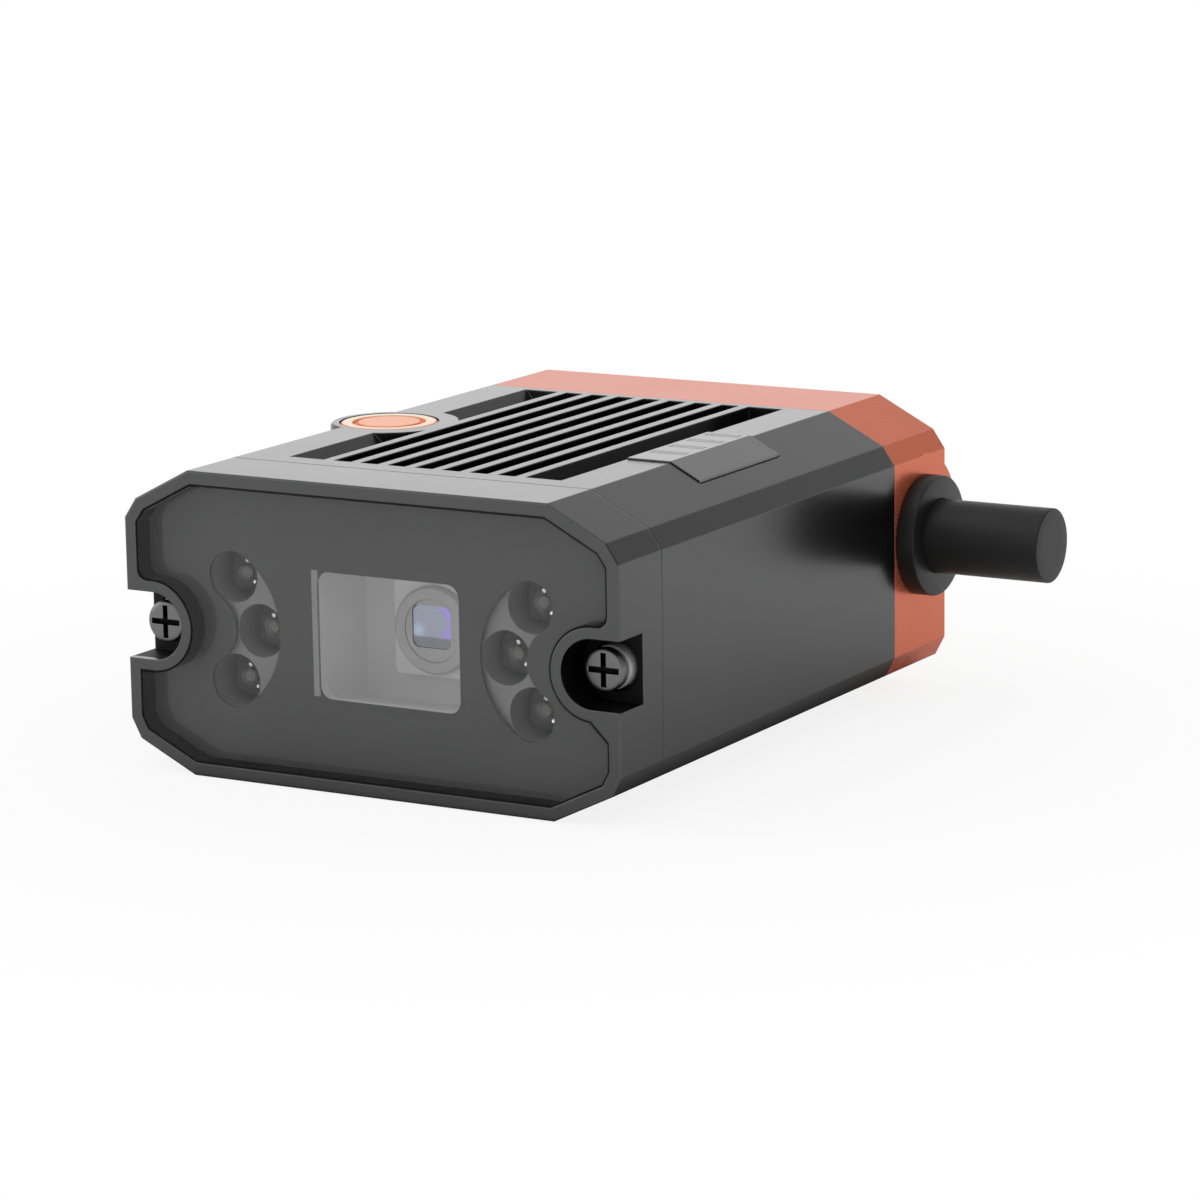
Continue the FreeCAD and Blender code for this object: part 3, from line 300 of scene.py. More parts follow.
class Nodes:
    """One node tree, filled from the object's own coordinates."""

    def __init__(self, owner):
        self.owner = owner
        owner.use_nodes = True
        self.tree = owner.node_tree
        self.tree.nodes.clear()
        self.place = self.node("ShaderNodeTexCoord", output="Object")

    def node(self, kind, values=None, output=0, **settings):
        """Adds a node: its settings first, then the values or links of its sockets."""
        node = self.tree.nodes.new(kind)
        for key, value in settings.items():
            setattr(node, key, value)
        for key, value in (values or {}).items():
            socket = node.inputs[key]
            if isinstance(value, Value):
                self.tree.links.new(value.socket, socket)
            else:
                socket.default_value = (*value, 1.0) if socket.type == "RGBA" else value
        return Value(self, node.outputs[output])

    def maths(self, operation, *terms):
        return self.node("ShaderNodeMath", dict(enumerate(terms)), operation=operation)

    def vectors(self, operation, *terms, output="Vector"):
        values = dict(enumerate(terms))
        return self.node("ShaderNodeVectorMath", values, output, operation=operation)

    def limited(self, value):
        return self.node("ShaderNodeClamp", {"Value": value})

    def ramp(self, value, start, end):
        """Smooth step from 0 at start to 1 at end."""
        values = {"Value": value, "From Min": start, "From Max": end}
        return self.node("ShaderNodeMapRange", values, interpolation_type="SMOOTHSTEP")

    def axes(self, names="XYZ"):
        split = self.node("ShaderNodeSeparateXYZ", {"Vector": self.place})
        return [split.output(name) for name in names]

    def noise(self, size, detail=2.0, roughness=0.5, place=None):
        """Noise whose features are about this size in metres."""
        return self.node("ShaderNodeTexNoise", {
            "Vector": place or self.place, "Scale": 1.0 / size,
            "Detail": detail, "Roughness": roughness})

    def cells(self, size, **settings):
        values = {"Vector": self.place, "Scale": 1.0 / size}
        return self.node("ShaderNodeTexVoronoi", values, **settings)

    def mix(self, factor, first, second):
        """Blend of two colours."""
        values = {0: factor, 6: first, 7: second}
        return self.node("ShaderNodeMix", values, 2, data_type="RGBA")

    def shade(self, colour, tone):
        """A colour made lighter or darker by a varying tone."""
        values = {"Vector": colour, "Scale": tone}
        return self.node("ShaderNodeVectorMath", values, operation="SCALE")

    def distance(self, across, up):
        """Length from the two legs of a right angle."""
        legs = self.node("ShaderNodeCombineXYZ", {0: across, 1: 0.0, 2: up})
        return self.vectors("LENGTH", legs, output="Value")

    def from_upright(self, centre):
        """Distance from the upright line through this place."""
        away = self.vectors("SUBTRACT", self.place, centre)
        flat = self.vectors("MULTIPLY", away, (1.0, 1.0, 0.0))
        return self.vectors("LENGTH", flat, output="Value")

    def rays(self):
        """A mask of the camera's own rays, and one of those by way of gloss or glass."""
        seen = self.node("ShaderNodeLightPath", output="Is Camera Ray")
        glossy, through = seen.output("Is Glossy Ray"), seen.output("Is Transmission Ray")
        return seen, self.maths("MAXIMUM", glossy, through)

    def rounded(self, radius):
        """Normal with the edges rounded to this radius, and a mask that is 1 on them."""
        normal = self.node("ShaderNodeBevel", {"Radius": radius}, samples=6)
        flat = self.node("ShaderNodeNewGeometry", output="Normal")
        along = self.vectors("DOT_PRODUCT", normal, flat, output="Value")
        return normal, self.limited((1 - along) * 9)

    def bump(self, height, depth, strength, normal=None):
        values = {"Strength": strength, "Distance": depth, "Height": height}
        if normal:
            values["Normal"] = normal
        return self.node("ShaderNodeBump", values)

    def surface(self, **values):
        """Principled surface; an underscore in a name stands for a space."""
        sockets = {key.replace("_", " "): value for key, value in values.items()}
        return self.node("ShaderNodeBsdfPrincipled", sockets)

    def finish(self, shader):
        """Joins the shader to the tree's output."""
        kind = "World" if isinstance(self.owner, bpy.types.World) else "Material"
        output = self.tree.nodes.new("ShaderNodeOutput" + kind)
        self.tree.links.new(shader.socket, output.inputs["Surface"])
        return self.owner


def material(name):
    return Nodes(bpy.data.materials.new(name))


def neutral(level):
    return (level, level, level)


def lighter(colour, share):
    return [min(1.0, part * share) for part in colour]


# Materials

def blasted_metal(name, colour, gloss, grazing, metal, pockets=False):
    """Bead-blasted, anodised aluminium with broken edges; painted shade darkens the insides of its
    screw pockets.
    """
    settings = bpy.context.scene.finish_settings
    m = material(name)
    edge_normal, edge = m.rounded(settings.edge)
    grain = m.noise(settings.grain, 3.0, 0.6)
    cloud = m.noise(0.009, 3.0)
    handling = m.noise(0.0016, 4.0, 0.7)
    tone = 0.93 + cloud * 0.1 + (grain - 0.5) * 0.1
    worn = m.limited(edge * (handling * 1.6 - 0.3)) * 0.35
    colour = m.mix(worn, m.shade(colour, tone), [part ** 0.55 for part in colour])
    roughness = gloss + (cloud - 0.5) * 0.05 + (grain - 0.5) * 0.1 + edge * 0.08
    normal = m.bump(grain, settings.grain * 0.05, 0.3, edge_normal)
    if pockets:
        screws = bpy.context.scene.screw_settings
        x, y, z = m.axes()
        # Painted shade: the metal inside the screw pockets is darkened and roughened where shade
        # falls
        pocket_shade = y.between(FRONT_Y + POCKET_START, FRONT_Y + POCKET_END) * (abs(x) < SIDE_X - 0.00008)
        pocket_shade = pocket_shade * abs(x).near(screws.pocket_x, POCKET_HALF_X)
        pocket_shade = pocket_shade * z.near(screws.pocket_z, POCKET_HALF_Z)
        colour = m.mix(pocket_shade * 0.85, colour, neutral(0.004))
        roughness = roughness + pocket_shade * 0.3
    return m.finish(m.surface(
        Base_Color=colour, Metallic=metal, Roughness=roughness,
        Specular_Tint=neutral(grazing), Normal=normal))


def clear_plate():
    """Hard-coated clear plate: it reflects more at a low angle and lets the rest through."""
    m = material("Clear plate")
    straight_on = 0.025
    facing = m.node("ShaderNodeLayerWeight", {"Blend": 0.5}, "Facing")
    share = straight_on + (facing ** 5) * (1 - straight_on)
    through = m.node("ShaderNodeBsdfTransparent", {"Color": neutral(0.955)})
    gloss = m.node("ShaderNodeBsdfGlossy", {"Color": neutral(1.0), "Roughness": 0.03})
    return m.finish(m.node("ShaderNodeMixShader", {0: share, 1: through, 2: gloss}))


def window_print(colour):
    """Dark print with a painted lighter strip beside its opening, standing in for the opening's lit
    side wall, and a painted shadow line below it.
    """
    m = material("Window print")
    cloud = m.noise(0.012, 2.0)
    colour = m.shade(colour, 0.85 + cloud * 0.25)
    x, z = m.axes("XZ")
    side, sill = OPENING_X - OPENING_HALF_X, OPENING_Z - OPENING_HALF_Z
    # Painted light: a lighter strip beside the opening stands in for its lit side wall
    painted_lit_wall = m.ramp(x, side - 0.0006, side - 0.0005) * (x < side + 0.0001)
    painted_lit_wall = painted_lit_wall * z.between(sill + 0.0002, sill + 0.0114)
    # Painted shade: a dark line below the opening stands in for its shaded bottom wall
    line = m.ramp(z, sill - 0.00062, sill - 0.00056) * m.ramp(z, sill - 0.00042, sill - 0.00048)
    line = line * x.between(side, side + 0.0146)
    colour = m.mix(painted_lit_wall * 0.9, colour, neutral(0.3))
    colour = m.mix(line * 0.7, colour, neutral(0.04))
    return m.finish(m.surface(
        Base_Color=colour, Roughness=0.5 + cloud * 0.1, Specular_IOR_Level=0.2))


def seal_rubber(colour):
    """Moulded rubber with a little pale dust."""
    m = material("Seal rubber")
    skin = m.noise(0.00025, 3.0)
    dust = m.noise(0.003, 4.0, 0.7)
    colour = m.mix(m.ramp(dust, 0.6, 0.85) * 0.15, colour, neutral(0.04))
    return m.finish(m.surface(
        Base_Color=colour, Roughness=0.62 + skin * 0.15, Specular_IOR_Level=0.1,
        Normal=m.bump(skin, 0.00002, 0.5)))


def panel_plastic(outer, inner):
    """Dark moulding; its chamber round the lens has a lighter, matt finish and a faint painted
    glow, though it is no lamp.
    """
    m = material("Panel plastic")
    x, y, z = m.axes()
    inside = x.near(OPENING_X, CHAMBER_HALF_X) * z.near(OPENING_Z, CHAMBER_HALF_Z)
    inside = inside * (y > FRONT_Y + CHAMBER_SETBACK)
    tower = x.near(LENS_AXIS.x, TOWER_HALF) * z.near(LENS_AXIS.z, TOWER_HALF)
    tower = tower * (y < low("lens_bracket").y - HAIR)
    texture = m.noise(0.00018, 3.0, 0.6)
    cloud = m.noise(0.004, 2.0)
    inner = m.mix(tower * inside, inner, lighter(inner, 1.22))
    tone = 0.94 + cloud * 0.08 + (texture - 0.5) * 0.05
    return m.finish(m.surface(
        Base_Color=m.shade(m.mix(inside, outer, inner), tone), Roughness=0.5 + texture * 0.12,
        # Painted light: the chamber glows faintly, though it is no lamp
        Emission_Color=m.mix(inside, neutral(0.0), neutral(0.045)), Emission_Strength=1.0,
        Normal=m.bump(texture, 0.000012, 0.4)))


def screw_steel(pocket):
    """Plated steel: fine turning marks round the screw's axis and painted shade in the cross
    recesses.
    """
    m = material("Plated screw steel")
    x, y, z = m.axes()
    away = m.distance(abs(x) - pocket.pocket_x, z - pocket.pocket_z)
    marks_per_metre = 62000
    rings = m.maths("SINE", away * marks_per_metre)
    speck = m.noise(0.0002, 3.0)
    normal, edge = m.rounded(0.00008)
    steel = neutral(0.175)
    tone = 0.86 + speck * 0.2 + rings * 0.02
    colour = m.mix(edge * 0.4, m.shade(steel, tone), lighter(steel, 1.8))
    face = low("bezel_screws").y
    # Painted shade: the cross recess is darkened to stand in for the shade inside it
    recess = y.between(face + 0.00012, face + 0.0007) * (away < 0.00165)
    colour = m.mix(recess, colour, neutral(0.006))
    bush = y.between(low("screw_bushes").y - HAIR, FRONT_Y + 0.0052) * (away > 0.0015)
    colour = m.mix(bush, colour, neutral(0.8))
    return m.finish(m.surface(
        Base_Color=colour, Metallic=1.0, Roughness=0.28 + speck * 0.14 + bush * 0.25,
        Normal=m.bump(rings * 0.5 + speck, 0.000006, 0.4, normal)))


def plain_metal(name, colour, roughness, grain=0.0003):
    """Bright metal with a fine speck and lighter edges."""
    m = material(name)
    speck = m.noise(grain, 3.0)
    normal, edge = m.rounded(0.00008)
    colour = m.mix(edge * 0.3, m.shade(colour, 0.85 + speck * 0.3), lighter(colour, 1.7))
    return m.finish(m.surface(
        Base_Color=colour, Metallic=1.0, Roughness=roughness + speck * 0.12,
        Normal=m.bump(speck, grain * 0.04, 0.4, normal)))


def moulded(name, colour, roughness, grain, depth=0.05, coat=0.0, gloss=0.5, metal=0.0):
    """Injection-moulded plastic with a fine spark texture and softened edges."""
    m = material(name)
    texture = m.noise(grain, 3.0, 0.6)
    cloud = m.noise(0.005, 2.0)
    normal, edge = m.rounded(0.0001)
    tone = 0.92 + cloud * 0.1 + (texture - 0.5) * 0.08 + edge * 0.12
    return m.finish(m.surface(
        Base_Color=m.shade(colour, tone), Roughness=roughness + (texture - 0.5) * 0.12,
        Metallic=metal, Coat_Weight=coat, Specular_IOR_Level=gloss,
        Normal=m.bump(texture, grain * depth, 0.5, normal)))


def cable_jacket(colour):
    """Extruded jacket: fine draw lines along it and a soft sheen."""
    m = material("Cable jacket")
    stretch = m.node("ShaderNodeMapping", {"Vector": m.place, "Scale": (0.06, 1.0, 1.0)})
    lines = m.noise(0.0003, 3.0, 0.6, stretch)
    skin = m.noise(0.00035, 4.0, 0.6)
    scuff = m.noise(0.0025, 4.0, 0.75)
    colour = m.mix(m.ramp(scuff, 0.6, 0.85) * 0.3, colour, neutral(0.05))
    return m.finish(m.surface(
        Base_Color=colour, Roughness=0.4 + skin * 0.15, Specular_IOR_Level=0.38,
        Normal=m.bump(lines * 0.7 + skin * 0.5, 0.00004, 0.5)))


def circuit_board():
    """Green solder mask over copper tracks, with plated pads."""
    m = material("Circuit board")
    track = m.ramp(m.cells(0.0011, feature="DISTANCE_TO_EDGE"), 0.1, 0.05)
    pad = m.ramp(m.cells(0.0026), 0.2, 0.16)
    weave = m.noise(0.0002, 2.0)
    mask = m.mix(track * 0.7, (0.006, 0.05, 0.022), (0.018, 0.11, 0.045))
    return m.finish(m.surface(
        Base_Color=m.mix(pad, m.shade(mask, 0.85 + weave * 0.3), (0.7, 0.56, 0.26)),
        Metallic=pad * 0.9, Roughness=0.3 + weave * 0.15,
        Normal=m.bump(track + weave * 0.3, 0.00003, 0.6)))


def lamp_dome_glass():
    """Clear cast dome with a faint smear."""
    m = material("Lamp dome")
    smear = m.noise(0.002, 3.0)
    return m.finish(m.surface(
        Base_Color=m.shade(neutral(0.97), 0.97 + smear * 0.06),
        Roughness=0.02 + smear * 0.02, IOR=1.5, Transmission_Weight=1.0))


def coated_lens():
    """Coated glass: pale blue with a painted reflection spot, a violet edge and a greyer lower
    part.
    """
    m = material("Coated lens")
    x, z = m.axes("XZ")
    centre = middle_of("front_lens")
    across, height = x - centre.x, z - centre.z
    violet = m.ramp(across + abs(height - 0.0007) * 0.6, 0.0012, 0.0019)
    # Painted reflection: a lighter soft spot left of the lens' middle
    painted_reflection = m.ramp(m.distance(across + 0.0016, height + 0.0001), 0.001, 0.0001)
    film = m.noise(0.0012, 2.0)
    colour = m.mix(painted_reflection * 0.8, (0.34, 0.38, 0.46), (0.50, 0.60, 0.76))
    colour = m.mix(violet * 0.7, colour, (0.42, 0.30, 0.9))
    colour = m.mix(m.ramp(height, -0.0005, -0.0008), colour, (0.21, 0.225, 0.245))
    return m.finish(m.surface(
        Base_Color=m.shade(colour, 0.95 + film * 0.1), Metallic=1.0,
        Roughness=0.12 + film * 0.05))


def sensor_surface():
    """Bare silicon behind its cover glass, with a fine crossed pattern."""
    m = material("Sensor surface")
    x, z = m.axes("XZ")
    cells_per_metre = 90000
    lines = m.maths("SINE", x * cells_per_metre) * m.maths("SINE", z * cells_per_metre)
    colour = m.mix(m.limited(lines * 0.5 + 0.5), (0.03, 0.05, 0.09), (0.09, 0.05, 0.10))
    return m.finish(m.surface(
        Base_Color=colour, Metallic=0.6, Roughness=0.2 + abs(lines) * 0.1, Coat_Weight=1.0))


def button_plastic(settings):
    """Cream rim, orange groove and pale centre."""
    m = material("Trigger button")
    away = m.from_upright(middle_of("trigger_button"))
    ring, half = settings.ring_radius, settings.ring_width / 2
    in_groove = m.ramp(abs(away - ring), half * 1.15, half * 0.85)
    inner = m.ramp(away, ring + half, ring - half)
    texture = m.noise(0.00016, 3.0, 0.6)
    wear = m.noise(0.0015, 3.0, 0.7)
    outline = m.ramp(away, 0.00425, 0.00436)
    colour = m.mix(inner, settings.cap, settings.core)
    colour = m.mix(m.limited(in_groove + outline), colour, settings.groove)
    normal = m.rounded(0.00012)[0]
    return m.finish(m.surface(
        Base_Color=m.shade(colour, 0.94 + wear * 0.08 + (texture - 0.5) * 0.06),
        Roughness=0.34 + texture * 0.12, Normal=m.bump(texture, 0.000012, 0.5, normal)))


def capacitor_can():
    """Drawn aluminium can with a dark polarity band."""
    m = material("Capacitor can")
    x = m.axes("X")[0]
    band = m.ramp(m.maths("SINE", x * 1250), 0.55, 0.6)
    brushed = m.noise(0.0002, 3.0)
    colour = m.mix(band, (0.55, 0.56, 0.58), (0.02, 0.02, 0.025))
    return m.finish(m.surface(
        Base_Color=m.shade(colour, 0.9 + brushed * 0.2), Metallic=0.9,
        Roughness=0.3 + brushed * 0.15))


def core_insulation():
    """Four coloured cores, told apart by their place in the cable."""
    m = material("Core insulation")
    y, z = m.axes("YZ")
    centre = middle_of("cable_stub")
    upper = z > centre.z
    rear = y > centre.y
    warm = m.mix(rear, (0.5, 0.03, 0.02), (0.75, 0.7, 0.62))
    cool = m.mix(rear, (0.02, 0.02, 0.02), (0.02, 0.1, 0.45))
    skin = m.noise(0.0003, 3.0)
    return m.finish(m.surface(
        Base_Color=m.shade(m.mix(upper, cool, warm), 0.9 + skin * 0.2),
        Roughness=0.4 + skin * 0.1, Normal=m.bump(skin, 0.00002, 0.4)))


def make_finishes(scene):
    """One material for each of the model's slots, and two for parts of the lamps."""
    settings = scene.finish_settings
    return {
        "grey_metal": blasted_metal(
            "Blasted grey aluminium", settings.grey, 0.23, 0.94, 1.0, pockets=True),
        "orange_metal": blasted_metal(
            "Blasted orange aluminium", settings.orange, 0.28, 0.66, 0.65),
        "clear_plate": clear_plate(),
        "window_print": window_print(settings.print_black),
        "seal_rubber": seal_rubber(settings.rubber),
        "panel_plastic": panel_plastic(settings.plastic, settings.chamber),
        "screw_steel": screw_steel(scene.screw_settings),
        "lamp_package": moulded(
            "Lamp package", (0.07, 0.07, 0.072), 0.4, 0.0002, 0.03, gloss=0.3),
        "lamp_lens": lamp_dome_glass(),
        "board": circuit_board(),
        "chip": moulded("Chip epoxy", (0.02, 0.02, 0.022), 0.5, 0.00015, 0.08),
        "lens_metal": moulded("Satin lens face", settings.lens_face, 0.45, 0.0003, 0.03),
        "lens_glass": coated_lens(),
        "sensor_glass": sensor_surface(),
        "button_plastic": button_plastic(scene.control_settings),
        "spring_steel": plain_metal("Spring steel", (0.35, 0.34, 0.32), 0.28),
        "status_plastic": moulded("Status panel", neutral(0.17), 0.27, 0.0002, 0.03, metal=0.95),
        "light_guide": moulded("Light guide", neutral(0.1), 0.3, 0.0004, 0.03),
        "gland_plastic": moulded("Gland nylon", settings.jacket, 0.4, 0.0003, gloss=0.34),
        "cable_jacket": cable_jacket(settings.jacket),
        "core_insulation": core_insulation(),
        "pad_gel": moulded("Gel pad", (0.3, 0.33, 0.36), 0.7, 0.0008, 0.1),
        "ribbon": moulded("Ribbon film", (0.4, 0.18, 0.03), 0.3, 0.0006, 0.03, coat=0.6),
        "capacitor_can": capacitor_can(),
        "connector_plastic": moulded("Connector plastic", (0.6, 0.57, 0.5), 0.45, 0.0003),
        "lamp_die": moulded("Lamp die", (0.17, 0.17, 0.16), 0.4, 0.0001, 0.02),
        "bond_metal": plain_metal("Bond metal", (0.95, 0.95, 0.93), 0.05, 0.0001),
    }


FINISHES = {}


# Modelling by hand

def switch(mode):
    bpy.ops.object.mode_set(mode=mode)


def deselect():
    if bpy.context.mode != "OBJECT":
        switch("OBJECT")
    bpy.ops.object.select_all(action="DESELECT")


def take(piece):
    """Makes this piece alone selected and active."""
    deselect()
    piece.select_set(True)
    bpy.context.view_layer.objects.active = piece


def start(name, add, **settings):
    """Adds a primitive and puts its place in its mesh."""
    deselect()
    add(**settings)
    piece = bpy.context.active_object
    piece.name = piece.data.name = name
    bpy.ops.object.transform_apply(location=True, rotation=True, scale=True)
    return piece


def block(name, centre, size):
    """A cube stretched to this size: the start of a piece or of a cutting tool."""
    piece = start(name, bpy.ops.mesh.primitive_cube_add, size=1, location=centre)
    place = Matrix.Translation(centre)
    piece.data.transform(place @ Matrix.Diagonal((*size, 1)) @ place.inverted())
    return piece


def pick(piece, test, kind="FACE"):
    """Opens a piece in edit mode with only the faces or edges that pass the test selected."""
    take(piece)
    switch("EDIT")
    bpy.ops.mesh.select_mode(type=kind)
    bpy.ops.mesh.select_all(action="DESELECT")
    switch("OBJECT")
    mesh, points = piece.data, piece.data.vertices
    if kind == "FACE":
        found = [face for face in mesh.polygons if test(face.center, face.normal)]
    else:
        found = [edge for edge in mesh.edges if test(*(points[end].co for end in edge.vertices))]
    if not found:
        raise RuntimeError(f"nothing to edit was found on {piece.name}")
    for part in found:
        part.select = True
    switch("EDIT")


def along_depth(first, second):
    """True for an edge that runs from front to back."""
    return abs((first - second).normalized().y) > 0.9


def close(piece, smooth=35):
    """Merges doubles, turns the faces outwards and smooths all but the sharp edges."""
    take(piece)
    switch("EDIT")
    bpy.ops.mesh.select_all(action="SELECT")
    bpy.ops.mesh.remove_doubles(threshold=1e-7)
    bpy.ops.mesh.normals_make_consistent(inside=False)
    switch("OBJECT")
    bpy.ops.object.shade_smooth_by_angle(angle=math.radians(smooth))
    return piece


def turned(name, centre, axis, profile, sides=64):
    """A turned part: a disc extruded along its axis and scaled at each (radius, height) of
    the profile. A profile that comes back to its start makes a ring."""
    centre = Vector(centre)
    ring = profile[0] == profile[-1]
    radius, height = profile[0]
    piece = start(
        name, bpy.ops.mesh.primitive_circle_add, vertices=sides, radius=radius,
        fill_type="NOTHING" if ring else "NGON", location=centre + axis * height,
        rotation=axis.to_track_quat("Z", "Y").to_euler())
    switch("EDIT")
    bpy.ops.mesh.select_mode(type="EDGE" if ring else "FACE")
    bpy.ops.mesh.select_all(action="SELECT")
    for (radius, height), (next_radius, next_height) in zip(profile, profile[1:]):
        move = axis * (next_height - height)
        bpy.ops.mesh.extrude_region_move(TRANSFORM_OT_translate={"value": move})
        share = next_radius / radius
        value = [1.0 if abs(part) > 0.5 else share for part in axis]
        bpy.ops.transform.resize(value=value, center_override=centre + axis * next_height)
    switch("OBJECT")
    return close(piece)


def soften(piece, width, angle=30):
    """Rounds the sharp edges of a piece."""
    take(piece)
    bevel = piece.modifiers.new("Soft edges", "BEVEL")
    bevel.width = width
    bevel.segments = 2
    bevel.limit_method = "ANGLE"
    bevel.angle_limit = math.radians(angle)
    bpy.ops.object.modifier_apply(modifier=bevel.name)
    bpy.ops.object.shade_smooth_by_angle(angle=math.radians(angle + 10))


def carve(piece, tool):
    """Cuts one piece with another, which is used up."""
    take(piece)
    cut = piece.modifiers.new("Cut", "BOOLEAN")
    cut.operation = "DIFFERENCE"
    cut.solver = "EXACT"
    cut.object = tool
    bpy.ops.object.modifier_apply(modifier=cut.name)
    bpy.data.objects.remove(tool)


def copy_of(piece, name, move):
    """A copy with its own mesh, put in place by moving the mesh."""
    copy = piece.copy()
    copy.data = piece.data.copy()
    copy.name = copy.data.name = name
    copy.data.transform(Matrix.Translation(move))
    bpy.context.scene.collection.objects.link(copy)
    return copy


def settle(piece, slot, *nodes, body="camera", finish=None):
    """Gives a finished piece its material and its body, and hides the nodes that it stands for."""
    piece.data.materials.clear()
    piece.data.materials.append(FINISHES[finish or slot])
    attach(piece, body)
    if nodes:
        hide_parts(*nodes)


def merged_copy(node, name):
    """Editable copy of a node, its loose triangles merged into whole faces."""
    piece = bpy.data.objects.new(name, NODES[node].data.copy())
    piece.data.name = name
    bpy.context.scene.collection.objects.link(piece)
    take(piece)
    bpy.ops.mesh.customdata_custom_splitnormals_clear()
    switch("EDIT")
    bpy.ops.mesh.select_all(action="SELECT")
    bpy.ops.mesh.remove_doubles(threshold=1e-6)
    bpy.ops.mesh.dissolve_limited(angle_limit=math.radians(0.5))
    switch("OBJECT")
    return piece


def cross_head_screw(name, centre, axis, tip, face, head_height, sizes):
    """Screw with a crowned head and a tapered cross recess; heights are along its axis."""
    rim, shank = sizes.head_radius, sizes.shank_radius
    seat = face - head_height
    crown = head_height * 0.3
    crown_steps = ((1.0, 1.0), (0.985, 0.65), (0.95, 0.32), (0.88, 0.1), (0.75, 0.0))
    piece = turned(name, centre, axis, [
        (shank * 0.7, tip), (shank, tip + 0.0004), (shank, seat), (rim, seat),
        *((rim * width, face - crown * drop) for width, drop in crown_steps)], 48)
    depth = head_height * 0.7
    middle = Vector(centre) + axis * face
    along = [abs(part) > 0.5 for part in axis].index(True)
    for arm in (index for index in range(3) if index != along):
        size = [sizes.arm_width] * 3
        size[arm] = sizes.arm_length
        size[along] = depth * 2
        tool = block("Recess tool", middle, size)
        pick(tool, lambda place, normal: normal.dot(axis) < -0.9)
        taper = [1.0] * 3
        taper[arm] = 0.75
        floor = Vector(centre) + axis * (face - depth)
        bpy.ops.transform.resize(value=taper, center_override=floor)
        carve(piece, tool)
    return close(piece, 40)


# Pieces

class VISION_OT_dress_nodes(bpy.types.Operator):
    """Give every solid of the frame the finish of its slot"""
    bl_idname = "vision.dress_nodes"
    bl_label = "Dress the frame"

    def execute(self, context):
        FINISHES.update(make_finishes(context.scene))
        for node in NODES.values():
            for slot in node.material_slots:
                slot.material = FINISHES[slot.material.name.split(".")[0]]
        return {"FINISHED"}


class VISION_OT_window(bpy.types.Operator):
    """Model the clear window plate with its softened front edge"""
    bl_idname = "vision.window"
    bl_label = "Window plate"

    def execute(self, context):
        plate = merged_copy("front_window", "window_plate")
        rear = high("front_window").y
        pick(plate, lambda place, normal: normal.y > 0.9 and place.y > rear - HAIR)
        bpy.ops.transform.translate(value=(0, -0.00003, 0))
        soften(plate, 0.00008, 20)
        bpy.ops.object.shade_flat()
        settle(plate, "clear_plate", "front_window")
        return {"FINISHED"}


class VISION_OT_bezel_screws(bpy.types.Operator):
    """Model the two screws in the side pockets"""
    bl_idname = "vision.bezel_screws"
    bl_label = "Bezel screws"

    def execute(self, context):
        sizes = context.scene.screw_settings
        head_height = 0.0008
        tip, face = -high("bezel_screws").y, -low("bezel_screws").y
        centre = (-sizes.pocket_x, 0, sizes.pocket_z)
        left = cross_head_screw("bezel_screw_left", centre, -REAR, tip, face, head_height, sizes)
        right = copy_of(left, "bezel_screw_right", RIGHT * 2 * sizes.pocket_x)
        settle(left, "screw_steel", "bezel_screws")
        settle(right, "screw_steel")
        return {"FINISHED"}


class VISION_OT_cover_screws(bpy.types.Operator):
    """Model the four screws of the rear cover"""
    bl_idname = "vision.cover_screws"
    bl_label = "Cover screws"

    def execute(self, context):
        sizes = context.scene.screw_settings
        head_height = 0.0013
        upper_x = 0.011
        corner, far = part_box("rear_cover_screws")
        lower_x = far.x - sizes.head_radius
        lower_z, upper_z = corner.z + sizes.head_radius, far.z - sizes.head_radius
        places = [Vector((side * x, 0, z))
                  for x, z in ((lower_x, lower_z), (upper_x, upper_z)) for side in (-1, 1)]
        first = cross_head_screw(
            "cover_screw_1", places[0], REAR, corner.y, far.y, head_height, sizes)
        settle(first, "screw_steel", "rear_cover_screws")
        for index, place in enumerate(places[1:], 2):
            settle(copy_of(first, f"cover_screw_{index}", place - places[0]), "screw_steel")
        return {"FINISHED"}


